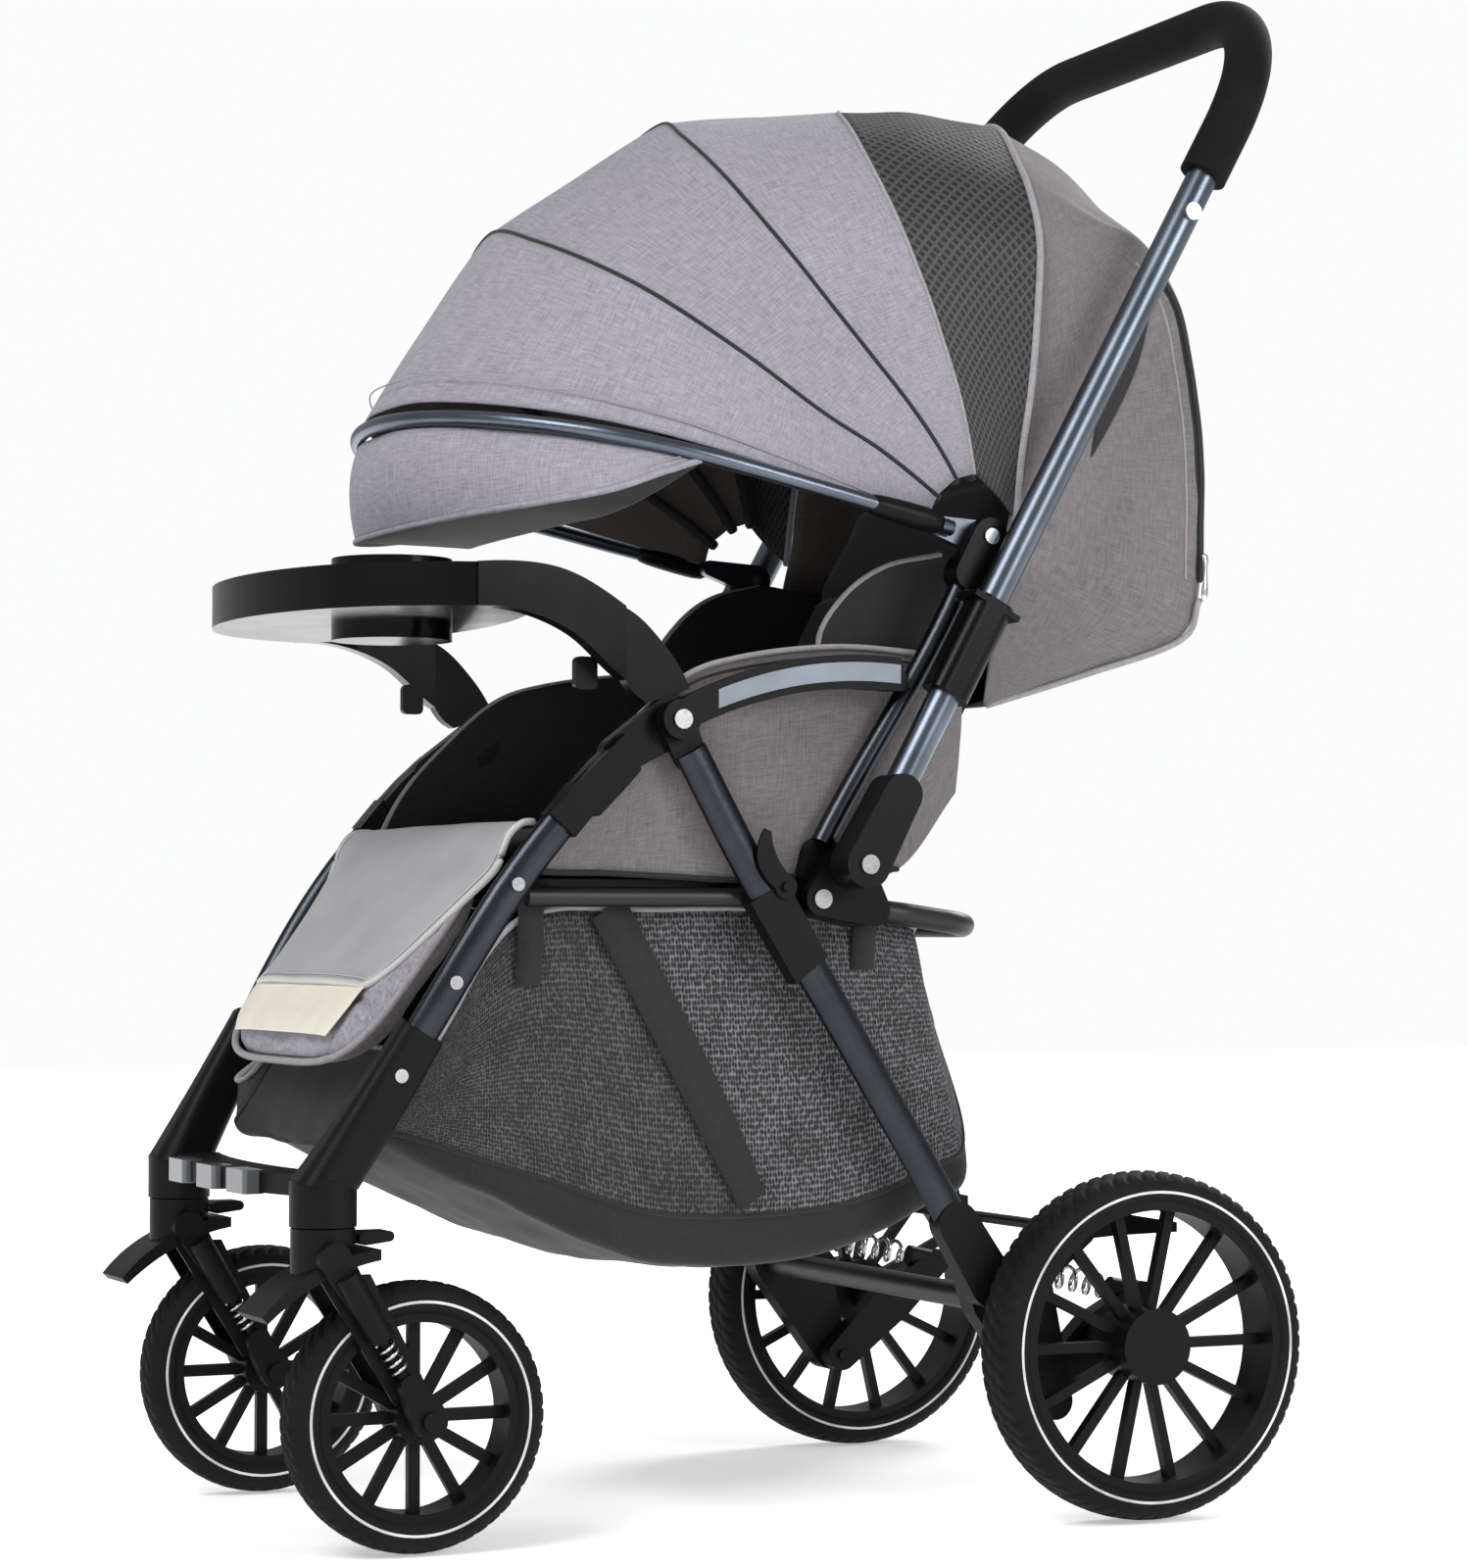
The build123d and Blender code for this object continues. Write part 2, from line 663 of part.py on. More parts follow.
BOW_HALF = [(192, 26), (199.5, 93), (201.5, 150), (201.5, CURVE_FROM)]
BOW_HALF += [hoop(201.5, 384.5, turn) for turn in (20, 40, 60, 76)]
with BuildPart() as canopy_bow:
    with BuildLine(fan(BOW_ANGLE)) as bow_line:
        Spline(*BOW_HALF, (0, 384.5), *[(-x, r) for x, r in reversed(BOW_HALF)])
    with BuildSketch(Plane(bow_line.line @ 0, z_dir=bow_line.line % 0)):
        Circle(5.5)
    sweep()
    with BuildSketch(yz(181)):
        for r_out, r in ((0, 12), (40, 6)):
            with Locations((CANOPY_P[0] - r_out * cos(radians(BOW_ANGLE)),
                            CANOPY_P[1] + r_out * sin(radians(BOW_ANGLE)))):
                Circle(r)
        make_hull()
        with Locations(CANOPY_P):
            Circle(4 + RUN, mode=Mode.SUBTRACT)
    extrude(amount=8.4)
    mirror(about=Plane.YZ)

canopy_axis = Axis((0, *CANOPY_P), (-1, 0, 0))
canopy_panels = {}
for name, start, arc, half_w, reach, low in (
        ("canopy_front_panel", -0.5, 35.5, 196, 378, 40), ("canopy_mid_panel", 36, 23, 191, 366, 84),
        ("canopy_rear_panel", 60, 24, 186, 354, 54)):
    with BuildPart() as panel:
        with BuildSketch(fan(start)):
            for wall, mode in ((0, Mode.ADD), (3, Mode.SUBTRACT)):
                w, top = half_w - wall, reach - wall
                with BuildLine():
                    Polyline((-w, CURVE_FROM), (-w, low - wall), (w, low - wall), (w, CURVE_FROM))
                    Spline(*[hoop(w, top, turn) for turn in range(0, 181, 20)],
                           tangents=((0, 1), (0, -1)))
                make_face(mode=mode)
        revolve(axis=canopy_axis, revolution_arc=arc)
        if name == "canopy_front_panel":
            # the visor under the bow only closes the front
            with BuildSketch(yz(-220)):
                with BuildLine():
                    Polyline((-95, 600), (-95, 724), (140, 676), (140, 600), close=True)
                make_face()
            extrude(amount=440, mode=Mode.SUBTRACT)
            add(canopy_bow.part, mode=Mode.SUBTRACT)
    canopy_panels[name] = panel.part
    save(panel.part, name)

# ================================================================ seat, basket and hood
with BuildPart() as seat_board:
    with BuildSketch(Plane.XY.offset(434)):
        with Locations((0, -82)):
            RectangleRounded(2 * SEAT_HALF - 4, 262, 20)
    extrude(amount=5)

with BuildPart() as seat_cushion:
    with BuildSketch(Plane.XY.offset(439)):
        with Locations((0, -86)):
            RectangleRounded(2 * SEAT_HALF - 8, 250, 24)
    extrude(amount=33)
    fillet(seat_cushion.edges().group_by(Axis.Z)[-1], 12)

with BuildPart() as side_panels:
    with BuildSketch(yz(SEAT_HALF + 0.6)):
        with BuildLine():
            Polyline((-205, 441), (-198, 464))
            Spline((-198, 464), (-142, 535), (-100, 574), (-56, 589), (10, 597), (64, 595))
            Polyline((64, 595), (20, 441), (-205, 441))
        make_face()
    extrude(amount=3)
    mirror(about=Plane.YZ)

BASKET = [(-212, 412), (-273, 328), (-300, 276), (-194, 217), (-102, 184), (14, 186), (97, 216),
          (130, 236), (84, 392)]
BASKET_IN = [(-208, 425), (-269, 328), (-296, 279), (-193, 220.5), (-102, 187.2), (13.5, 189.2),
             (95.5, 218.8), (126, 237), (76, 402)]
with BuildPart() as basket:
    with BuildSketch(yz(-166)):
        with BuildLine():
            Polyline(*BASKET, close=True)
        make_face()
    extrude(amount=332)
    with BuildSketch(yz(-163)):
        with BuildLine():
            Polyline(*BASKET_IN, close=True)
        make_face()
    extrude(amount=326, mode=Mode.SUBTRACT)
    with BuildSketch(Plane.XY.offset(150)):
        with BuildLine():
            Polyline((-150, -330), (-150, -300), (-166, -240), (-166, 150), (166, 150), (166, -240),
                     (150, -300), (150, -330), close=True)
        make_face()
    extrude(amount=300, mode=Mode.INTERSECT)

HOOD = [(148, 568), (287, 612), (312, 660), (313, 780), (303, 860), (272, 912), (240, 962),
        (216, 988), (192, 965), (172, 885), (162, 781), (152, 712)]
HOOD_IN = [(100, 571.6), (285, 615.4), (309, 661), (310, 780), (300, 859), (269, 911), (238, 960),
           (216, 984), (192, 1010), (60, 1010), (60, 712)]
with BuildPart() as rear_hood:
    for shape, half_w, radius, top, mode in ((HOOD, 179, 105, 990, Mode.ADD),
                                             (HOOD_IN, 176, 102, 987, Mode.SUBTRACT)):
        with BuildPart(mode=Mode.PRIVATE) as block:
            with BuildSketch(yz(-half_w)):
                with BuildLine():
                    Polyline(*shape, close=True)
                make_face()
            extrude(amount=2 * half_w)
            with BuildSketch(Plane.XZ.offset(-400)) as front_view:
                with Locations((0, (top + 500) / 2)):
                    Rectangle(2 * half_w, top - 500)
                fillet(front_view.vertices().group_by(Axis.Y)[-1], radius)
            extrude(amount=400, mode=Mode.INTERSECT)
        add(block.part, mode=mode)

# ================================================================ backrest and leg rest
BACK_HINGE = (70, 455)
BACK_LEAN = 28.3
BACK_LENGTH = 440
back_s, back_c = sin(radians(BACK_LEAN)), cos(radians(BACK_LEAN))
back_plane = Plane((0, *BACK_HINGE), x_dir=(1, 0, 0), z_dir=(0, -back_c, back_s))
with BuildPart() as backrest_board:
    with BuildSketch(back_plane.offset(-5)):
        with Locations((0, BACK_LENGTH / 2 + 14)):
            RectangleRounded(280, BACK_LENGTH - 20, 40)
    extrude(amount=5)

with BuildPart() as backrest_pad:
    with BuildSketch(back_plane):
        with Locations((0, BACK_LENGTH / 2 + 14)):
            RectangleRounded(300, BACK_LENGTH - 16, 50)
    extrude(amount=34)
    fillet(backrest_pad.faces().sort_by(Axis.Y)[0].edges(), 14)

LEG_HINGE = (-222, 450)
LEG_ANGLE = 53.4
leg_s, leg_c = sin(radians(LEG_ANGLE)), cos(radians(LEG_ANGLE))
leg_plane = Plane((0, *LEG_HINGE), x_dir=(1, 0, 0), z_dir=(0, leg_s, -leg_c))
with BuildPart() as legrest_pad:
    with BuildSketch(leg_plane.offset(-14)):
        with BuildLine():
            Polyline((-158, 10), (158, 10), (146, 158), (126, 168), (-126, 168), (-146, 158),
                     close=True)
        make_face()
    extrude(amount=31)

# ================================================================ tray
TRAY_PLAN = [(189, -150), (189, -215), (182, -262), (150, -312), (90, -346), (0, -360)]
with BuildPart() as tray:
    with BuildSketch(Plane.XY.offset(617)):
        with BuildLine():
            Spline(*TRAY_PLAN[1:], *[(-x, y) for x, y in reversed(TRAY_PLAN[1:-1])])
            Line((-189, -215), (-168, -205))
            ThreePointArc((-168, -205), (0, -178), (168, -205))
            Line((168, -205), (189, -215))
        make_face()
    extrude(amount=29)
    # shallow recess and the cup well
    with BuildSketch(Plane.XY.offset(637)):
        with BuildLine():
            Spline((172, -222), (166, -260), (138, -300), (84, -332), (0, -346), (-84, -332),
                   (-138, -300), (-166, -260), (-172, -222))
            ThreePointArc((-172, -222), (0, -192), (172, -222))
        make_face()
    extrude(amount=20, mode=Mode.SUBTRACT)
    with BuildSketch(Plane.XY.offset(606)):
        with Locations((0, -244)):
            Circle(42)
    extrude(amount=57)
    with BuildSketch(Plane.XY.offset(609)):
        with Locations((0, -244)):
            Circle(37)
    extrude(amount=60, mode=Mode.SUBTRACT)
    # arms that curve down to the sockets
    with BuildSketch(yz(174.5)):
        with BuildLine():
            Spline((-252, 646), (-216, 647), (-191, 643), (-166, 632), (TRAY_SPLIT, 620))
            Line((TRAY_SPLIT, 620), (TRAY_SPLIT, 571))
            Spline((TRAY_SPLIT, 571), (-161, 582), (-178, 597), (-201, 609), (-228, 616),
                   (-252, 617))
            Line((-252, 617), (-252, 646))
        make_face()
    extrude(amount=15)
    with BuildSketch(yz(178.6)):
        with Locations((TRAY_SPLIT - 7, 596)):
            Rectangle(17, 24.8)
    extrude(amount=6.8, mode=Mode.SUBTRACT)
    mirror(about=Plane.YZ)

for side_name, side in SIDES:
    with BuildPart() as tray_button:
        with BuildSketch(yz(165)):
            with Locations((-168, 576)):
                RectangleRounded(16, 22, 4)
        extrude(amount=6)
        if side < 0:
            mirror(about=Plane.YZ, mode=Mode.REPLACE)
    save(tray_button.part, f"tray_button_{side_name}")

# ================================================================ write the rest
save(knuckles.part + tray_sockets.part, "knuckles")
save(hub_brackets.part + canopy_brackets.part, "hub_brackets")
for name, built in (
        ("front_legs", front_legs), ("seat_frame", seat_frame), ("support_tubes", support_tubes),
        ("u_bar", u_bar), ("front_castings", front_castings), ("footrest_bar", footrest_bar),
        ("step_plates", step_plates), ("armrests", armrests), ("armrest_inlays", armrest_inlays),
        ("frame_bolts", frame_bolts), ("rear_legs", rear_legs), ("rear_sleeves", rear_sleeves),
        ("rear_cross_tube", rear_cross_tube), ("rear_housings", rear_housings),
        ("brake_pedals", brake_pedals), ("fold_hooks", fold_hooks), ("handle_tube", handle_tube),
        ("foam_grip", foam_grip), ("handle_brackets", handle_brackets),
        ("handle_bolts", handle_bolts), ("canopy_bow", canopy_bow), ("seat_board", seat_board),
        ("seat_cushion", seat_cushion), ("side_panels", side_panels), ("basket", basket),
        ("rear_hood", rear_hood), ("backrest_board", backrest_board),
        ("backrest_pad", backrest_pad), ("legrest_pad", legrest_pad), ("tray", tray)):
    save(built.part, name)
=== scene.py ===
"""Baby stroller: cloth, padding, tyres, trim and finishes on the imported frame."""

import bmesh
import bpy
import numpy as np
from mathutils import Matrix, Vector


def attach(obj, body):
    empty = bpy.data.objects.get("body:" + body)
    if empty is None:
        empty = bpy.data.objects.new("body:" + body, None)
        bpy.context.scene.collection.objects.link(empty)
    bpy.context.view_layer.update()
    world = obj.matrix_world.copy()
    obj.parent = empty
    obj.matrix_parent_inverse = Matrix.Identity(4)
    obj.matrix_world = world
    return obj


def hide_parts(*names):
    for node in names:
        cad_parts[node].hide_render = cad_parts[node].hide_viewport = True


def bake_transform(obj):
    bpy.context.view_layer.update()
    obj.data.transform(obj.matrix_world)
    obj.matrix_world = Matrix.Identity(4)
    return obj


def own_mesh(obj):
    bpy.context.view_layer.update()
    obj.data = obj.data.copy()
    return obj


bl_info = {
    "name": "Baby stroller",
    "version": (1, 0, 0),
    "blender": (4, 5, 0),
    "location": "View3D > Sidebar > Stroller",
    "description": "Builds the soft parts, tyres, trim and finishes of a baby stroller",
    "category": "Object",
}

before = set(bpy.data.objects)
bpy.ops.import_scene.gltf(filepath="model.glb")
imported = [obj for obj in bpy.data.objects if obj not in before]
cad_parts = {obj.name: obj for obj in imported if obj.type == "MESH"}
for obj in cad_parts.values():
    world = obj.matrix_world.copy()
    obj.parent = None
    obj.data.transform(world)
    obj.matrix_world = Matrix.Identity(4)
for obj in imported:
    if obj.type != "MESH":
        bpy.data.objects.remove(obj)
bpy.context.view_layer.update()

MM = 0.001
SHIFT = np.array([0.0, 11.44, 0.0])       # from the maker's axes to the middle of the box
HINGE_Y, HINGE_Z = 120.0, 676.0           # canopy hinge
SIDES = (("left", 1), ("right", -1))


# ------------------------------------------------------------------ materials
def hex_linear(code):
    """Linear RGB of an sRGB hex colour: each channel through the sRGB curve."""
    c = np.array([int(code[i:i + 2], 16) / 255 for i in (1, 3, 5)])
    return tuple(np.where(c <= 0.04045, c / 12.92, ((c + 0.055) / 1.055) ** 2.4).tolist())


def shade(rgb, k=1.0):
    """The colour k times as bright, with its alpha."""
    return (*(min(1.0, c * k) for c in rgb), 1.0)


def node(mat, kind, feed=None, values=None, stops=None, out=0, **settings):
    """Adds one node and returns its output. feed maps sockets to outputs, values maps sockets to
    constants, stops are a ramp's (place, colour) pairs, and settings are the node's properties."""
    n = mat.node_tree.nodes.new("ShaderNode" + kind)
    for key, value in settings.items():
        setattr(n, key, value)
    for place, rgb in (stops or ())[2:]:
        n.color_ramp.elements.new(place)
    for element, (place, rgb) in zip(n.color_ramp.elements if stops else (), sorted(stops or ())):
        element.position, element.color = place, rgb
    for socket, value in (values or {}).items():
        n.inputs[socket].default_value = value
    for socket, output in (feed or {}).items():
        mat.node_tree.links.new(output, n.inputs[socket])
    return n.outputs[out] if n.outputs else None


def finish_of(name, slot_values, build):
    """A material called name. build(mat) makes its pattern and returns the outputs to link to the
    shader's sockets; slot_values are the shader's own constants."""
    mat = bpy.data.materials.new(name)
    mat.use_nodes = True
    mat.node_tree.nodes.clear()
    feed = build(mat)
    surface = node(mat, "BsdfPrincipled", feed, slot_values)
    node(mat, "OutputMaterial", {"Surface": surface})
    return mat


def bumps(mat, height, strength, depth):
    """Normal of a surface whose relief is height times depth, in metres."""
    return node(mat, "Bump", {"Height": height}, {"Strength": strength, "Distance": depth})


def clouds(mat, place, scale, rgb, dark, light, detail=4.0):
    """A soft cloud pattern, and the colour it gives between dark and light times rgb."""
    cloud = node(mat, "TexNoise", {"Vector": place}, {"Scale": scale, "Detail": detail})
    return cloud, node(mat, "ValToRGB", {"Fac": cloud},
                       stops=[(0.3, shade(rgb, dark)), (0.7, shade(rgb, light))])


def haze(mat, pattern, rough):
    """Roughness a little under and over rough, as the pattern goes."""
    return node(mat, "MapRange", {"Value": pattern},
                {"To Min": rough - 0.08, "To Max": rough + 0.1})


def linen_weave(name, rgb, source="UV", contrast=1.0, rough=0.85):
    """Melange polyester linen, plain woven: slubby yarns 0.8 mm apart, drawn 1.4 mm apart so that
    they show. The eye gets short light and dark streaks both ways and a soft dull sheen."""
    def build(mat):
        place = node(mat, "TexCoord", out={"UV": 2, "Object": 3}[source])
        warp, weft = (node(mat, "TexNoise", {"Vector": node(mat, "Mapping", {"Vector": place},
                                                            {"Scale": drawn})},
                           {"Scale": 1.0, "Detail": 3.0, "Roughness": 0.7})
                      for drawn in ((70, 720, 260), (720, 70, 260)))
        whole = node(mat, "TexCoord", out=3)
        cloud = node(mat, "TexNoise", {"Vector": whole}, {"Scale": 9.0, "Detail": 3.0})
        yarn = node(mat, "Math", {0: warp, 1: weft}, operation="ADD")
        soft = node(mat, "Math", {0: cloud}, {1: 0.22}, operation="MULTIPLY")
        level = node(mat, "Math", {0: yarn, 1: soft}, operation="ADD")
        colour = node(mat, "ValToRGB", {"Fac": node(mat, "Math", {0: level}, {1: 2.22},
                                                   operation="DIVIDE")},
                      stops=[(0.36, shade(rgb, 1 - 0.42 * contrast)),
                             (0.64, shade(rgb, 1 + 0.42 * contrast)), (0.5, shade(rgb))])
        return {"Base Color": colour,
                "Normal": bumps(mat, yarn, 0.45, 0.0006)}
    return finish_of(name, {"Roughness": rough, "Sheen Weight": 0.12, "Sheen Roughness": 0.5,
                            "Specular IOR Level": 0.3}, build)


def spacer_mesh(name, thread, gap, cell_mm=2.2):
    """Warp-knitted polyester mesh with rows of small holes. The eye gets a salt and pepper speckle
    of lit threads and dark holes."""
    def build(mat):
        place = node(mat, "Mapping", {"Vector": node(mat, "TexCoord", out=2)},
                     {"Scale": (1000 / cell_mm,) * 3})
        hole = node(mat, "TexVoronoi", {"Vector": place}, {"Scale": 1.0, "Randomness": 0.35})
        cloud = node(mat, "TexNoise", {"Vector": place}, {"Scale": 0.12, "Detail": 3.0})
        patchy = node(mat, "Math", {0: cloud}, {1: 0.25}, operation="MULTIPLY")
        mixed = node(mat, "Math", {0: hole, 1: patchy}, operation="ADD")
        colour = node(mat, "ValToRGB", {"Fac": mixed}, stops=[
            (0.46, shade(gap, 0.5)), (0.78, shade(thread)), (0.62, shade(thread, 0.35))])
        return {"Base Color": colour,
                "Normal": bumps(mat, hole, 0.5, 0.0008)}
    return finish_of(name, {"Roughness": 0.8}, build)


def diamond_net(name, thread, gap):
    """Diamond netting of twisted nylon: two families of threads crossing every 6 mm."""
    def build(mat):
        bands = []
        for turn in (0.72, -0.72):
            place = node(mat, "Mapping", {"Vector": node(mat, "TexCoord", out=2)},
                         {"Scale": (168.0,) * 3, "Rotation": (0.0, 0.0, turn)})
            bands.append(node(mat, "TexWave", {"Vector": place}, {"Scale": 0.31, "Distortion": 0.3},
                              out=1))
        net = node(mat, "Math", {0: bands[0], 1: bands[1]}, operation="MAXIMUM")
        colour = node(mat, "ValToRGB", {"Fac": net},
                      stops=[(0.55, shade(gap)), (0.9, shade(thread))])
        return {"Base Color": colour,
                "Normal": bumps(mat, net, 0.5, 0.0008)}
    return finish_of(name, {"Roughness": 0.65}, build)


def moulded(name, rgb, rough=0.42, coat=0.0, grain_mm=0.7, depth=0.00012):
    """Injection-moulded nylon or ABS: a fine spark-eroded grain and a faintly cloudy gloss."""
    def build(mat):
        place = node(mat, "TexCoord", out=3)
        grain = node(mat, "TexNoise", {"Vector": place}, {"Scale": 1000 / grain_mm, "Detail": 1.0})
        cloud, colour = clouds(mat, place, 18.0, rgb, 0.8, 1.25)
        return {"Base Color": colour, "Roughness": haze(mat, cloud, rough),
                "Normal": bumps(mat, grain, 0.4, depth)}
    return finish_of(name, {"IOR": 1.53, "Specular IOR Level": 0.12, "Coat Weight": coat,
                            "Coat Roughness": 0.07}, build)


def drawn_metal(name, rgb, rough=0.3, metallic=1.0, stretch=(60, 60, 60)):
    """Anodised or plated metal: faint drawing lines and hazy patches that spread the highlight."""
    def build(mat):
        place = node(mat, "TexCoord", out=3)
        lines = node(mat, "TexNoise", {"Vector": node(mat, "Mapping", {"Vector": place},
                                                      {"Scale": stretch})},
                     {"Scale": 10.0, "Detail": 3.0})
        colour = clouds(mat, place, 22.0, rgb, 0.85, 1.15, 3.0)[1]
        return {"Base Color": colour, "Roughness": haze(mat, lines, rough),
                "Normal": bumps(mat, lines, 0.2, 5e-5)}
    return finish_of(name, {"Metallic": metallic}, build)


def pored_rubber(name, rgb, pore_mm=0.9, rough=0.75):
    """EVA foam or tyre rubber: matte black whose fine pores break up the highlight."""
    def build(mat):
        place = node(mat, "TexCoord", out=3)
        pores = node(mat, "TexVoronoi", {"Vector": place}, {"Scale": 1000 / pore_mm})
        return {"Base Color": clouds(mat, place, 30.0, rgb, 0.7, 1.4)[1],
                "Normal": bumps(mat, pores, 0.35, 0.0004)}
    return finish_of(name, {"Roughness": rough, "Specular IOR Level": 0.16}, build)


def coated_cloth(name, rgb, rough=0.5, pebble_mm=1.2):
    """PU-coated polyester: an even skin, faint 1.2 mm pebble grain and a soft sheen."""
    def build(mat):
        place = node(mat, "TexCoord", out=2)
        pebble = node(mat, "TexVoronoi", {"Vector": place}, {"Scale": 1000 / pebble_mm})
        return {"Base Color": clouds(mat, place, 24.0, rgb, 0.92, 1.08)[1],
                "Normal": bumps(mat, pebble, 0.2, 0.0003)}
    return finish_of(name, {"Roughness": rough, "Sheen Weight": 0.1}, build)


# ------------------------------------------------------------------ surfaces
def smooth_path(points, count):
    """count places on a smooth curve through the given ones: Catmull-Rom spans along axis 0."""
    p = np.asarray(points, float)
    p = np.concatenate([2 * p[:1] - p[1:2], p, 2 * p[-1:] - p[-2:-1]])
    s = np.linspace(0, len(p) - 3 - 1e-9, count)
    i = s.astype(int)
    f = (s - i).reshape((-1,) + (1,) * (p.ndim - 1))
    a, b, c, d = p[i], p[i + 1], p[i + 2], p[i + 3]
    return 0.5 * (2 * b + (c - a) * f + (2 * a - 5 * b + 4 * c - d) * f ** 2
                  + (3 * b - a - 3 * c + d) * f ** 3)


def even_path(points, count):
    """A smooth curve through the points, sampled at equal lengths."""
    fine = smooth_path(points, 40 * len(points))
    run = np.concatenate([[0], np.cumsum(np.linalg.norm(np.diff(fine, axis=0), axis=1))])
    s = np.linspace(0, run[-1], count)
    return np.stack([np.interp(s, run, fine[:, k]) for k in range(fine.shape[1])], 1)


def patch(control, nu, nv):
    """Smooth surface through a net of points: curves through its rows, then through its columns."""
    rows = smooth_path(np.asarray(control, float), nu)
    return smooth_path(rows.swapaxes(0, 1), nv).swapaxes(0, 1)


def ripple(p, size):
    """Uneven height from -1 to 1 at each place: crossed sine waves of about that size in mm."""
    x, y, z = p[..., 0], p[..., 1], p[..., 2]
    k = 2 * np.pi / size
    return (np.sin(k * (x + 0.6 * y) + 1.3) + 0.8 * np.sin(k * (0.8 * y - z) + 0.4)
            + 0.6 * np.sin(1.7 * k * (z + 0.35 * x) + 2.1)) / 2.4


def push(p, amount):
    """Moves each place of a grid along the surface normal by amount in mm."""
    n = np.cross(np.gradient(p, axis=0), np.gradient(p, axis=1))
    n /= np.maximum(np.linalg.norm(n, axis=2), 1e-9)[..., None]
    return p + n * np.asarray(amount)[..., None]


def tube(path, radius, turns=10, flat=1.0, number=0):
    """A part for put_mesh: a round or flattened section carried along a path, place + radius
    (cos a side + flat sin a up), with ends drawn to a point over a rounded shoulder. The side
    direction is kept nearest to X."""
    path = np.asarray(path, float)
    t = np.gradient(path, axis=0)
    t /= np.linalg.norm(t, axis=1)[:, None]
    lean = np.array([0.03, 0.3, 0.95]) if abs(t[:, 0]).max() > 0.9 else np.array([1.0, 0.05, 0.02])
    side = np.cross(t, lean)
    side /= np.linalg.norm(side, axis=1)[:, None]
    up = np.cross(t, side)
    r = np.broadcast_to(np.asarray(radius, float), (len(path),))
    ends = t[0] * r[0] * 0.6, t[-1] * r[-1] * 0.6
    path = np.vstack([path[0] - ends[0], path[0] - ends[0] * 0.8, path, path[-1] + ends[1] * 0.8,
                      path[-1] + ends[1]])
    side, up = (np.vstack([v[:1], v[:1], v, v[-1:], v[-1:]]) for v in (side, up))
    r = np.concatenate([[0.0, r[0] * 0.7], r, [r[-1] * 0.7, 0.0]])
    a = np.linspace(0, 2 * np.pi, turns, endpoint=False)[None, :, None]
    round_it = np.cos(a) * side[:, None] + flat * np.sin(a) * up[:, None]
    return path[:, None] + round_it * r[:, None, None], False, True, number


STRAP = [(-1, 0), (-0.97, 0.9), (0.97, 0.9), (1, 0), (0.97, -0.9), (-0.97, -0.9)]


def strap(path, half, thick):
    """A part for put_mesh: flat webbing along a path, half wide and thick each way as vectors."""
    return (np.stack([path + a * np.asarray(half) + b * np.asarray(thick) for a, b in STRAP], 1),
            False, True, 0)


def both_sides(row):
    """The row from the left side to the middle, and its mirror image on to the right side."""
    return [*row, *[(-x, y, z) for x, y, z in row[:-1][::-1]]]


def put_mesh(name, parts, materials, centre=None):
    """One mesh from grids in mm. Each part is (grid, wraps first way, wraps second way, material
    number); its UVs are running lengths in metres. With a centre the faces turn away from it;
    without one the mesh is closed and its faces turn outwards."""
    verts, quads, uvs, slots, start = [], [], [], [], 0
    for grid, wrap_u, wrap_v, number in parts:
        p = (np.asarray(grid, float) + SHIFT) * MM
        nu, nv = p.shape[:2]
        index = np.arange(nu * nv).reshape(nu, nv) + start
        if wrap_u:
            index, q = np.vstack([index, index[:1]]), np.concatenate([p, p[:1]], 0)
        else:
            q = p
        if wrap_v:
            index, q = np.hstack([index, index[:, :1]]), np.concatenate([q, q[:, :1]], 1)
        run = [np.concatenate([[0.0], np.cumsum(np.linalg.norm(np.diff(q, axis=k), axis=2)
                                                .mean(axis=1 - k))]) for k in (0, 1)]
        flat = np.stack(np.meshgrid(*run, indexing="ij"), -1)
        for store, a, width in ((quads, index, 4), (uvs, flat, 2)):
            store.append(np.stack([a[:-1, :-1], a[1:, :-1], a[1:, 1:], a[:-1, 1:]], 2)
                         .reshape(-1, width))
        slots.append(np.full(len(quads[-1]), number))
        verts.append(p.reshape(-1, 3))
        start += nu * nv
    mesh = bpy.data.meshes.new(name)
    co, faces = np.concatenate(verts), np.concatenate(quads).astype(np.int32)
    mesh.vertices.add(len(co))
    mesh.vertices.foreach_set("co", co.ravel())
    mesh.loops.add(faces.size)
    mesh.loops.foreach_set("vertex_index", faces.ravel())
    mesh.polygons.add(len(faces))
    mesh.polygons.foreach_set("loop_start", np.arange(0, faces.size, 4, dtype=np.int32))
    for mat in materials if isinstance(materials, (list, tuple)) else [materials]:
        mesh.materials.append(mat)
    mesh.polygons.foreach_set("material_index", np.concatenate(slots).astype(np.int32))
    mesh.uv_layers.new(name="UVMap").data.foreach_set("uv", np.concatenate(uvs).ravel())
    mesh.update(calc_edges=True)
    bm = bmesh.new()
    bm.from_mesh(mesh)
    bmesh.ops.remove_doubles(bm, verts=bm.verts, dist=2e-6)
    if centre is None:
        bmesh.ops.recalc_face_normals(bm, faces=bm.faces)
    bm.to_mesh(mesh)
    bm.free()
    if centre is not None:
        n, c = (np.empty(len(mesh.polygons) * 3) for _ in range(2))
        mesh.polygons.foreach_get("normal", n)
        mesh.polygons.foreach_get("center", c)
        away = c.reshape(-1, 3) - (np.array(centre) + SHIFT) * MM
        if (n.reshape(-1, 3) * away).sum() < 0:
            mesh.flip_normals()
    mesh.polygons.foreach_set("use_smooth", np.ones(len(mesh.polygons), bool))
    obj = bpy.data.objects.new(name, mesh)
    bpy.context.scene.collection.objects.link(obj)
    return obj


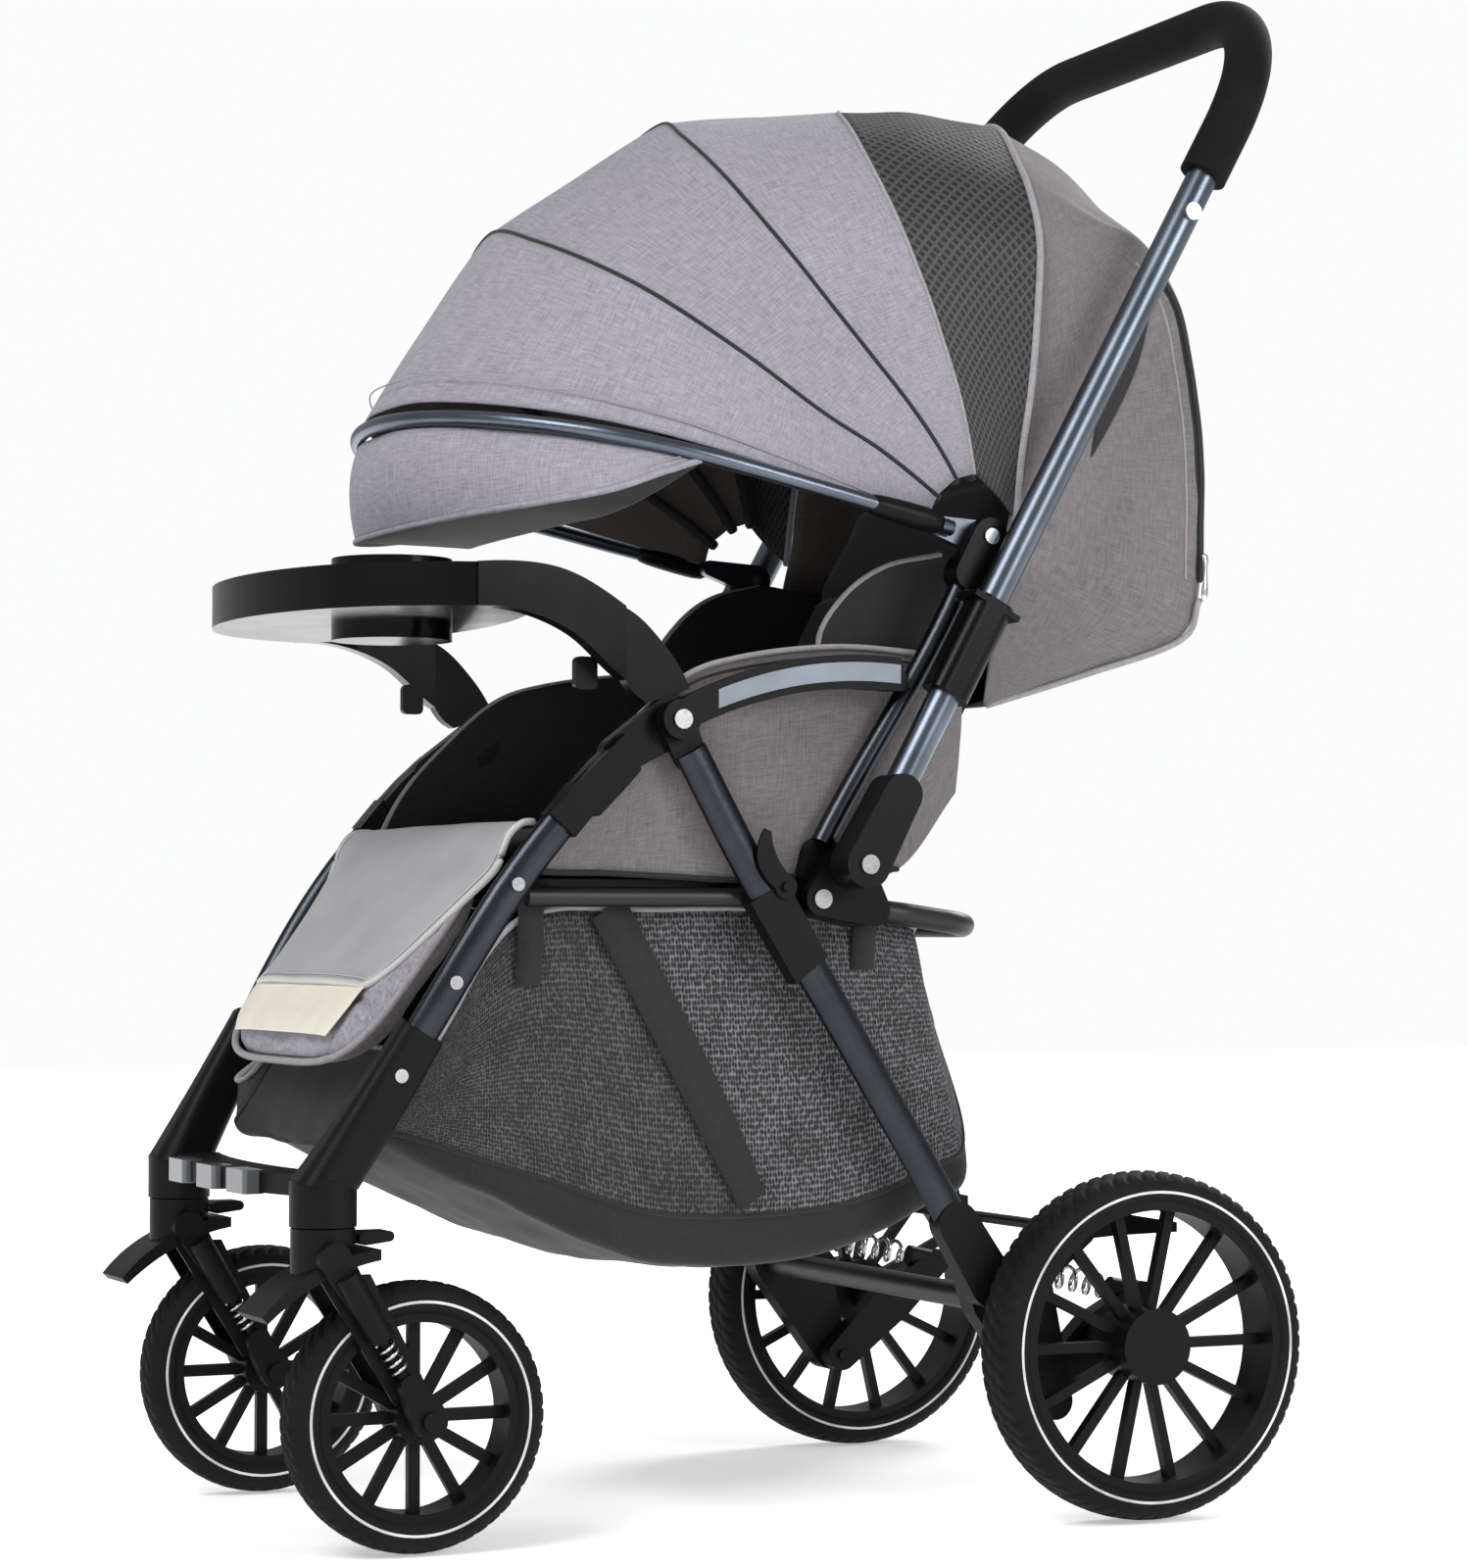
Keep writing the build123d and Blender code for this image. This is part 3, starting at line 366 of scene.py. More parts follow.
def thickened(obj, what, thickness, offset=-1.0):
    """Gives the surface its thickness in mm, on its inner side or half each way."""
    solid = obj.modifiers.new(what, "SOLIDIFY")
    solid.thickness, solid.offset = thickness * MM, offset
    return solid


def cloth_sheet(name, grid, materials, centre, thickness):
    """A sheet of cloth from one grid, given its thickness on its inner side, where it takes its
    last material."""
    obj = put_mesh(name, [(grid, False, False, 0)], materials, centre)
    solid = thickened(obj, "cloth thickness", thickness)
    solid.material_offset = len(obj.data.materials) - 1
    solid.material_offset_rim = 0
    return obj


def baked(obj):
    """Applies the object's modifiers to its mesh."""
    made = bpy.data.meshes.new_from_object(obj.evaluated_get(
        bpy.context.evaluated_depsgraph_get()))
    obj.modifiers.clear()
    obj.data = made
    made.polygons.foreach_set("use_smooth", np.ones(len(made.polygons), bool))
    return obj


def coordinates(mesh):
    co = np.empty(len(mesh.vertices) * 3)
    mesh.vertices.foreach_get("co", co)
    return co.reshape(-1, 3)


def blown_up(obj, cap, voxel=6.0, pressure=4.0):
    """Fills a sewn cover: an even mesh, pressed out from inside as cloth over 20 frames, with no
    place moved further than cap mm, then one subdivision."""
    even = obj.modifiers.new("even mesh", "REMESH")
    even.mode, even.voxel_size = "VOXEL", voxel * MM
    baked(obj)
    rest = coordinates(obj.data)
    cloth = obj.modifiers.new("filling", "CLOTH")
    cloth.settings.use_pressure = True
    cloth.settings.uniform_pressure_force = pressure
    cloth.settings.effector_weights.gravity = 0.0
    cloth.point_cache.frame_start, cloth.point_cache.frame_end = 1, 20
    for number in range(1, 21):
        bpy.context.scene.frame_set(number)
    move = coordinates(obj.evaluated_get(bpy.context.evaluated_depsgraph_get()).data) - rest
    obj.modifiers.clear()
    bpy.context.scene.frame_set(1)
    size = np.linalg.norm(move, axis=1)
    move *= np.minimum(1.0, cap * MM / np.maximum(size, 1e-9))[:, None]
    obj.data.vertices.foreach_set("co", (rest + move).ravel())
    obj.data.update()
    smooth = obj.modifiers.new("smooth", "SUBSURF")
    smooth.levels = smooth.render_levels = 1
    return baked(obj)


def pillow(name, material, centre, half, axes, square=0.28):
    """Closed crowned block: a superellipsoid with half sizes half along the three axes. Its edge
    power square runs from 1, an ellipsoid, to 0, a box."""
    u = np.linspace(-np.pi, np.pi, 97)[:-1, None]
    v = np.linspace(-np.pi / 2, np.pi / 2, 33)[None, :]

    def power(w, e):
        return np.sign(w) * np.abs(w) ** e

    local = np.stack([half[0] * power(np.cos(v), 0.35) * power(np.cos(u), square),
                      half[1] * power(np.cos(v), 0.35) * power(np.sin(u), square),
                      half[2] * power(np.sin(v), 0.8) * np.ones_like(u)], -1)
    return put_mesh(name, [(np.array(centre) + local @ np.array(axes, float), True, False, 0)],
                    material)


def painted(obj, extra, choose):
    """Adds materials and gives each face the number that choose(x, y, z), in mm, works out."""
    for mat in extra:
        obj.data.materials.append(mat)
    place = np.empty(len(obj.data.polygons) * 3)
    obj.data.polygons.foreach_get("center", place)
    number = choose(*(place.reshape(-1, 3) / MM - SHIFT).T)
    obj.data.polygons.foreach_set("material_index", np.asarray(number).astype(np.int32))


def stitched_in(obj, axes, origin, lines, depth, width=5.0):
    """Presses sewn channels into a pad: each line is (axis number, place, from, to) in the pad's
    own axes, and the cloth sinks along axis 2 by depth exp(-(distance / width) squared)."""
    co = coordinates(obj.data) / MM - SHIFT
    axes = np.array(axes, float)
    local = (co - np.array(origin)) @ axes.T
    for axis, place, start, end in lines:
        along = local[:, 1 - axis]
        near = np.exp(-((local[:, axis] - place) / width) ** 2)
        inside = (along > start) & (along < end) & (local[:, 2] > 0)
        local[:, 2] -= depth * near * inside
    obj.data.vertices.foreach_set("co", ((np.array(origin) + local @ axes + SHIFT) * MM).ravel())
    obj.data.update()


# ------------------------------------------------------------------ settings a user would change
def colour_setting(name, what, code):
    return bpy.props.FloatVectorProperty(name=name, description=what, subtype="COLOR", size=3,
                                         min=0.0, max=1.0, default=hex_linear(code))


def length_setting(name, what, value):
    return bpy.props.FloatProperty(name=name, description=what, default=value * MM, min=0.0,
                                   subtype="DISTANCE", unit="LENGTH", precision=5)


class StrollerColours(bpy.types.PropertyGroup):
    """Colours of the finishes."""
    canopy: colour_setting("Canopy", "Lavender grey linen of the canopy", "#88858E")
    hood: colour_setting("Hood", "Warm grey linen of the rear hood and seat sides", "#6B6667")
    lining: colour_setting("Lining", "Brown grey inside of the canopy", "#5E5754")
    leg_rest: colour_setting("Leg rest", "Linen of the leg rest", "#8B8890")
    flap: colour_setting("Flap", "Coated cloth over the leg rest", "#97969A")
    band: colour_setting("Band", "Ivory satin band", "#D9D3C4")
    dark_cloth: colour_setting("Dark cloth", "Black lining, binding and straps", "#1C1B1D")
    piping: colour_setting("Piping", "Grey piping", "#8C898D")
    mesh: colour_setting("Mesh", "Threads of the basket mesh", "#6E6E72")
    frame_dark: colour_setting("Legs", "Dark gunmetal of the legs", "#36393E")
    frame_bright: colour_setting("Handle", "Blue grey gunmetal of the handle", "#5B626C")
    plastic: colour_setting("Plastic", "Black moulded fittings", "#0B0B0D")
    tyre: colour_setting("Tyre", "Black tyre rubber", "#101011")
    stripe: colour_setting("Tyre stripe", "Pale ring on the tyre wall", "#C9C9C6")


class StrollerSizes(bpy.types.PropertyGroup):
    """Sizes of the soft parts and trim."""
    cloth: length_setting("Cloth", "Thickness of the canopy cloth", 1.6)
    piping: length_setting("Piping", "Radius of the piping", 2.2)
    seam: length_setting("Seam", "Radius of the canopy seams", 1.5)
    padding: length_setting("Padding", "Furthest that a pad swells", 7.0)
    tread: length_setting("Tread", "Depth of the tyre tread", 1.3)
    stripe: length_setting("Stripe", "Half width of the ring on the tyre wall", 1.0)


FINISHES = {}


def finishes():
    """Every material of the stroller, made once, by its short name."""
    if not FINISHES:
        c = bpy.context.scene.stroller_colours
        FINISHES.update(
            canopy=linen_weave("polyester linen weave lavender", c.canopy, contrast=0.8),
            hood=linen_weave("polyester linen weave taupe", c.hood, contrast=0.8),
            lining=linen_weave("brushed polyester lining", c.lining, contrast=0.5),
            leg=linen_weave("polyester linen weave leg rest", c.leg_rest, "Object"),
            border=linen_weave("polyester linen weave border", c.hood, "Object", 0.8),
            seat=linen_weave("black seat linen", c.dark_cloth, "Object", contrast=0.9),
            dark=linen_weave("nylon webbing black", c.dark_cloth, contrast=0.7, rough=0.7),
            piping=linen_weave("piping polyester", c.piping, contrast=0.6),
            flap=coated_cloth("PU coated polyester", c.flap, rough=0.46),
            trim=coated_cloth("PU binding light grey", hex_linear("#B4B2B3"), rough=0.45),
            band=coated_cloth("ivory satin ribbon", c.band, rough=0.38, pebble_mm=0.8),
            # mesh is the basket mesh at half brightness: painted shade on the basket's front,
            # before the strap
            mesh=spacer_mesh("warp knitted mesh painted shade", shade(c.mesh, 0.5)[:3], c.dark_cloth),
            mesh_pale=spacer_mesh("warp knitted mesh grey", c.mesh, c.dark_cloth),
            net=diamond_net("nylon diamond netting", hex_linear("#3C3B3E"), hex_linear("#0B0B0C")),
            tube_dark=drawn_metal("anodised aluminium dark", c.frame_dark, 0.3),
            tube_bright=drawn_metal("anodised aluminium gunmetal", c.frame_bright, 0.3),
            inlay=drawn_metal("brushed aluminium inlay", hex_linear("#6A7078"), 0.34,
                              stretch=(90, 2, 90)),
            steel=drawn_metal("nickel plated steel", hex_linear("#C4C4C6"), 0.2),
            black_metal=drawn_metal("powder coated steel", hex_linear("#101013"), 0.42, 0.2),
            plastic=moulded("glass filled nylon", c.plastic, 0.42),
            satin=moulded("satin ABS", hex_linear("#060607"), 0.3),
            gloss=moulded("polished ABS", hex_linear("#08080A"), 0.2, coat=0.15, depth=2e-5),
            smoke=moulded("smoke grey acrylic", hex_linear("#55575C"), 0.2, coat=0.5, depth=3e-5),
            foam=pored_rubber("EVA foam", hex_linear("#0B0B0C"), 0.9, 0.8),
            tyre=pored_rubber("tyre rubber", c.tyre, 0.8, 0.72),
            stripe=pored_rubber("tyre wall paint", c.stripe, 0.8, 0.6),
            thread=linen_weave("polyester thread pale", hex_linear("#8E8887"), contrast=0.4))
    return FINISHES


# ------------------------------------------------------------------ canopy
def fan(profile):
    """Places of a canopy rib from (distance from the middle, reach from the hinge, degrees up from
    straight ahead): y = hinge - reach cos angle, z = hinge + reach sin angle."""
    x, r, a = np.asarray(profile, float).T
    a = np.radians(a)
    return np.stack([x, HINGE_Y - r * np.cos(a), HINGE_Z + r * np.sin(a)], 1)


def whole_rib(half, count=97):
    """One rib from the left side over the top to the right side, evenly divided, as (x, r, a)."""
    half = np.asarray(half, float)
    other = half[:-1][::-1] * [-1, 1, 1]
    return even_path(np.concatenate([half, other]), count)


BOW = [(193, 43), (197, 91), (202, 163), (200, 219), (186, 271), (157, 316), (110, 355), (58, 379),
       (0, 384)]
SEAM_1 = [(191, 45, 38), (191, 95, 36), (190, 143, 33.5), (189, 219, 33), (168, 283, 33.5),
          (127, 322, 34.5), (66, 350, 36), (0, 364, 37.5)]
SEAM_2 = [(189, 45, 64), (190, 95, 59), (190, 140, 55.5), (188, 178, 54), (167, 242, 54.5),
          (124, 300, 56.5), (62, 335, 59.5), (0, 348, 62.5)]
EDGE = [(187, 45, 84), (188, 90, 81), (188, 135, 78), (184, 178, 76.5), (165, 238, 76),
        (122, 292, 77.5), (62, 318, 81.5), (0, 327, 86)]
ARCH = [(186, 148, 690), (186, 153, 735), (186, 161, 784), (184, 167, 835), (179, 172, 886),
        (158, 176, 925), (122, 184, 957), (62, 203, 990), (0, 218, 1002)]


def bow_rib(angle, inset):
    """The bow's curve turned to another angle and drawn in."""
    return [(x - inset * min(1, x / 60), r - inset * (1 - x / 260), angle) for x, r in BOW]


def between(first, second, rows, flatten):
    """Cloth between two ribs, even steps of reach, side and angle between them, drawn in by
    flatten of the reach in the middle, as cloth pulled straight from rib to rib is."""
    v = np.linspace(0, 1, rows)[:, None, None]
    polar = first * (1 - v) + second * v
    polar[..., 1] *= 1 - flatten * np.sin(np.pi * v[..., 0])
    return fan(polar.reshape(-1, 3)).reshape(polar.shape)


class StrollerCanopy(bpy.types.Operator):
    """Canopy cloth between its ribs, its visor, seams, rib sleeves and front binding"""
    bl_idname = "stroller.canopy"
    bl_label = "Canopy"

    def execute(self, context):
        m, s = finishes(), context.scene.stroller_sizes
        thick = s.cloth / MM
        inside = (0, -20, 740)
        ribs = {"bow": whole_rib(bow_rib(14.0, 4)), "one": whole_rib(SEAM_1),
                "two": whole_rib(SEAM_2), "edge": whole_rib(EDGE)}
        for name, a, b, bodies, angles, flatten in (
                ("front", "bow", "one", ("canopy_front", "canopy_mid"), (15, 35), .016),
                ("middle", "one", "two", ("canopy_mid", "canopy_rear"), (38, 54), .022),
                ("rear", "two", "edge", None, None, .018)):
            grid = between(ribs[a], ribs[b], 33, flatten)
            v = np.linspace(0, 1, 33)[:, None]
            u = np.abs(np.linspace(-1, 1, 97))[None, :]
            grid = push(grid, np.sin(np.pi * v) * (1.6 * ripple(grid, 150) * (0.4 + u)
                                                   + 0.7 * ripple(grid, 60) * u))
            obj = cloth_sheet(f"canopy_{name}_cloth", grid, [m["canopy"], m["lining"]], inside,
                              thick)
            if bodies:
                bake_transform(obj)
            else:
                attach(obj, "canopy_rear")
            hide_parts({"bow": "canopy_front_panel", "one": "canopy_mid_panel",
                              "two": "canopy_rear_panel"}[a])
        # seams, with black sleeves round the ribs under them
        for name, rib, body in (("one", SEAM_1, "canopy_mid"), ("two", SEAM_2, "canopy_rear"),
                                ("rear", EDGE, "canopy_rear")):
            rib = whole_rib(rib, 121)
            line, inner = fan(rib), fan([(x * 0.975, r * 0.975 - 1, a) for x, r, a in rib])
            welt = put_mesh(f"canopy_seam_{name}", [
                tube(line, s.seam / MM, 8),
                tube(inner, 4.2, 12, number=1)],
                [m["piping"] if name == "rear" else m["dark"], m["dark"]])
            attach(welt, body)
        # visor: a flat peak in front of the bow with a black underside
        lip = [(200, 222, 11), (198, 243, 8.2), (186, 276, 4.6), (157, 315, 2.6), (110, 351, 1.4),
               (58, 367, 0.9), (0, 371, 0.8)]
        under = [(196, 222, 10), (184, 236, 6.5), (164, 250, 3.6), (130, 258, 2.2), (92, 262, 2.0),
                 (48, 263, 2.0), (0, 263, 2.0)]
        top = whole_rib([(200, 222, 11.6)] + [(x, r - 3, 11.0) for x, r in BOW[4:]])
        front = whole_rib(lip)
        peak = between(top, front, 17, -0.012)
        peak = push(peak, 0.6 * ripple(peak, 90))
        back = between(front, whole_rib(under), 17, 0.0)
        visor = put_mesh("visor", [(peak, False, False, 0), (back, False, False, 1)],
                         [m["canopy"], m["dark"]], (0, -60, 720))
        thickened(visor, "cloth thickness", 2.2)
        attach(visor, "canopy_front")
        # folded binding with a row of stitches along the peak and behind the bow
        rows = [tube(fan(front), 2.4, 10)]
        stitch = fan(np.stack([front[:, 0] * 0.998, front[:, 1] * 1.001, front[:, 2] + 1.7], 1))
        rows.append(tube(stitch, 0.55, 6, number=1))
        stitch = fan(whole_rib([(x, r + 1.2, 16.8) for x, r in
                                [(x - 4 * min(1, x / 60), r - 4 * (1 - x / 260)) for x, r in BOW]]))
        rows.append(tube(stitch, 0.55, 6, number=1))
        binding = put_mesh("canopy_binding", rows, [m["canopy"], m["piping"]])
        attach(binding, "canopy_front")
        # black end caps where the bow meets its hinge
        caps = []
        for side in (1, -1):
            end = fan([(side * 197, 40, 12), (side * 197, 66, 12), (side * 198, 92, 12)])
            caps.append(tube(even_path(end, 9), [7.6, 8.4, 8.6, 8.6, 8.5, 8.3, 8.0, 7.6, 6.6],
                                   20))
        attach(put_mesh("bow_ends", caps, m["plastic"]), "canopy_front")
        return {"FINISHED"}


# ------------------------------------------------------------------ rear hood
WALL = [(176, 944), (224, 912), (262, 893), (290, 851), (307, 775), (309, 712), (308, 655),
        (288, 610), (210, 584), (130, 560)]
MIDDLE = [(218, 1002), (258, 978), (294, 944), (314, 892), (320, 800), (318, 720), (314, 660),
          (291, 612), (212, 586), (130, 562)]
FRONT = [(172, 886), (169, 860), (165, 826), (161, 784), (157, 752), (153, 728), (149, 700),
         (140, 660), (132, 600), (126, 562)]


class StrollerHood(bpy.types.Operator):
    """Rear hood shell with its netting, piping, zip and seams"""
    bl_idname = "stroller.hood"
    bl_label = "Rear hood"

    def execute(self, context):
        m, s = finishes(), context.scene.stroller_sizes
        net = []
        for k, (wall, middle, front) in enumerate(zip(WALL, MIDDLE, FRONT)):
            f, w, c = (np.array(q, float) for q in (front, wall, middle))
            roof = max(0.0, 1 - k / 2.0)          # the first two rows follow the arch
            row = [(180, *f), (181 - 1 * roof, *(f * .5 + w * .5)),
                   (178 - 9 * roof, *(f * .1 + w * .9)), (163 - 14 * roof, *(w * .93 + c * .07)),
                   (112, *(w * .56 + c * .44)), (56, *(w * .14 + c * .86)), (0, *c)]
            if k == 0:
                row = [(179, 172, 886), (172, 173, 905), (158, 176, 925), (140, 180, 943),
                       (108, 188, 967), (58, 204, 991), (0, 218, 1002)]
            net.append(both_sides(row))
        rows, columns = 91, 121
        grid = patch(net, rows, columns)
        fade = np.linspace(0, 1, rows)[:, None]
        edge = (np.sin(np.pi * np.linspace(0, 1, columns))[None, :] ** 0.3
                * np.sin(np.pi * fade) ** 0.5)
        folds = np.sin(grid[..., 1] / 7.5 + 0.9 * np.sin(grid[..., 2] / 90)) * np.exp(
            -((grid[..., 1] - 200) / 60) ** 2) * (np.abs(grid[..., 0]) > 150)
        grid = push(grid, edge * (2.2 * ripple(grid, 170) + 0.9 * ripple(grid, 70))
                    + 1.4 * folds * edge)
        hood = cloth_sheet("rear_hood_cloth", grid, [m["hood"], m["lining"]], (0, 190, 760),
                           s.cloth / MM)
        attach(hood, "chassis")
        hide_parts("rear_hood")
        # netting between the canopy's rear edge and the arch
        arch = even_path(both_sides(ARCH), 97)
        edge_line = fan(whole_rib(EDGE))
        v = np.linspace(0, 1, 21)[:, None, None]
        web = edge_line * (1 - v) + arch * v
        web = push(web, 4.0 * np.sin(np.pi * v[..., 0]) * (1 + 0.4 * ripple(web, 60)))
        gusset = cloth_sheet("hood_netting", web, [m["net"]], (0, 100, 760), 1.0)
        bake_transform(gusset)

        def on_cloth(line, proud):
            """The line moved across onto the hood's cloth, and out from it by proud."""
            wall = grid[grid[..., 0] * line[0, 0] > 0]
            wall = wall[np.abs(wall[:, 0]) > 120]
            far = ((line[:, None, 1:] - wall[None, :, 1:]) ** 2).sum(-1)
            x = wall[far.argmin(axis=1), 0]
            x = np.convolve(np.pad(x, 4, mode="edge"), np.ones(9) / 9, mode="valid")
            return np.column_stack([x + np.sign(x) * proud, line[:, 1:]])

        # piping on the arch, seam beside the zip, zip tape, teeth and puller
        parts = [tube(arch, s.piping / MM + 0.6, 12)]
        for side in (1, -1):
            zip_line = even_path([(side * 181, 262, 878), (side * 180.5, 284, 845),
                                  (side * 180, 299, 775), (side * 180, 302, 712),
                                  (side * 180, 302, 655)], 141)
            zip_line = on_cloth(zip_line, 0.4)
            seam = on_cloth(zip_line - [0, 13, 0], 0.3)
            parts += [tube(zip_line, 4.2, 8, 0.16, number=1),
                      tube(seam, 1.0, 6, number=3)]
            # painted shade: a flat dark lens lying on each side wall of the hood, shaped as a slit
            shade_strip_line = even_path([(side * 181.5, 262, 862), (side * 182, 246, 822),
                                   (side * 182, 228, 778), (side * 181, 212, 738)], 33)
            shade_strip_line = on_cloth(shade_strip_line, 0.6)
            shade_strip_width = 0.5 + 9 * np.sin(np.linspace(0, np.pi, 33))
            parts.append(tube(shade_strip_line, shade_strip_width, 14, 0.2, number=1))
            teeth = zip_line + [side * 1.0, 0, 0]
            parts.append(tube(teeth, 1.3 + 0.35 * np.cos(np.arange(141) * np.pi), 8, 0.8,
                              number=1))
            pull = even_path([(side * 183, 303, 672), (side * 184, 303, 662),
                              (side * 183.6, 302, 640)], 9)
            parts.append(tube(pull, [2.2, 2.6, 1.7, 1.6, 1.8, 2.2, 2.6, 2.8, 2.2], 10, 0.5,
                              number=2))
            lower = even_path([(side * 180, 300, 640), (side * 178, 286, 611),
                               (side * 178, 210, 585), (side * 178, 130, 561)], 41)
            parts.append(tube(lower, s.piping / MM, 10))
        trim = put_mesh("hood_trim", parts, [m["piping"], m["dark"], m["steel"], m["thread"]])
        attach(trim, "chassis")
        return {"FINISHED"}


# ------------------------------------------------------------------ seat
SEAT_MIDDLE = (0, -87, 456)
BACK_HINGE = (0, 70, 455)
BACK_LEAN = np.radians(28.3)              # from upright, at rest


class StrollerSeat(bpy.types.Operator):
    """Seat cushion, backrest pad with its wings, and the cloth side panels"""
    bl_idname = "stroller.seat"
    bl_label = "Seat"

    def execute(self, context):
        m, s = finishes(), context.scene.stroller_sizes
        cap = s.padding / MM
        level = [(1, 0, 0), (0, 1, 0), (0, 0, 1)]
        seat = pillow("seat_pad", m["seat"], SEAT_MIDDLE, (164, 118, 13), level)
        blown_up(seat, cap)
        stitched_in(seat, level, SEAT_MIDDLE, [(1, y, -150, 150) for y in (-58, 0, 58)], 4.0)
        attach(seat, "chassis")
        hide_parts("seat_cushion")
        up = (0, np.sin(BACK_LEAN), np.cos(BACK_LEAN))
        out = (0, -np.cos(BACK_LEAN), np.sin(BACK_LEAN))
        middle = np.array(BACK_HINGE) + 222 * np.array(up) + 17 * np.array(out)
        back_axes = [(1, 0, 0), up, out]
        back = pillow("backrest_cushion", m["seat"], middle, (144, 206, 13), back_axes)
        blown_up(back, cap)
        stitched_in(back, back_axes, middle, [(1, y, -130, 130) for y in (-90, -10, 70)], 4.0)
        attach(back, "backrest")
        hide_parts("backrest_pad")
        for word, side in SIDES:
            x = side * 150
            base = [(x, 84, 500), (x, 100, 530), (x, 118, 566), (x, 138, 604), (x, 156, 640),
                    (x, 166, 664)]
            tip = [(x, 62, 540), (side * 147, 30, 572), (side * 144, 17, 604),
                   (side * 143, 37, 636), (side * 146, 67, 657), (side * 149, 108, 667)]
            net = [[b, *[tuple(np.array(b) * (1 - w) + np.array(t) * w + [-side * 3 * w, 0, 0])
                         for w in (0.35, 0.7)], t] for b, t in zip(base, tip)]
            grid = patch(net, 41, 25)
            grid = push(grid, 1.0 * ripple(grid, 70))
            wing = put_mesh(f"backrest_wing_{word}", [(grid, False, False, 0)], m["dark"],
                            (0, 60, 600))
            thickened(wing, "padding", 7, 0.0)
            round_off = wing.modifiers.new("soft edge", "BEVEL")
            round_off.width, round_off.segments = 2.4 * MM, 3
            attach(wing, "backrest")
            pipe = put_mesh(f"wing_piping_{word}", [
                tube(even_path(tip, 49), s.piping / MM + 0.5, 12)], m["piping"])
            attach(pipe, "backrest")
            top = [(-192, 470), (-172, 505), (-145, 536), (-101, 574), (-58, 589), (10, 598),
                   (70, 596), (112, 590)]
            low = [(-209, 443), (-188, 442), (-160, 442), (-110, 440), (-56, 438), (0, 442),
                   (60, 446), (106, 500)]
            net = []
            for (ty, tz), (ly, lz) in zip(top, low):
                net.append([(side * (176 + 2.2 * np.sin(np.pi * w)), ly + (ty - ly) * w,
                             lz + (tz - lz) * w) for w in (0, 0.25, 0.5, 0.75, 1)])
            grid = patch(net, 81, 41)
            w = np.linspace(0, 1, 41)[None, :]
            grid = push(grid, side * np.sin(np.pi * w) * (1.3 * ripple(grid, 120)
                                                          + 0.6 * ripple(grid, 45)))
            panel = cloth_sheet(f"side_cloth_{word}", grid, [m["hood"], m["seat"]], (0, -60, 520),
                                1.8)
            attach(panel, "chassis")
            if side > 0:
                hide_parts("side_panels")
            line = even_path([(side * 177, y, z) for y, z in top], 121)
            hem = even_path([(side * 178, y, z + 1) for y, z in low[:7]], 81)
            edge = put_mesh(f"side_piping_{word}", [
                tube(line, s.piping / MM, 12),
                tube(line + [side * 1.2, 0, -7], 1.0, 8, number=1),
                tube(hem, 2.0, 8, number=1)], [m["piping"], m["dark"]])
            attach(edge, "chassis")
        return {"FINISHED"}


# ------------------------------------------------------------------ leg rest
LEG_HINGE = (0, -222, 450)
LEG_SLOPE = np.radians(53.4)              # below level, at rest


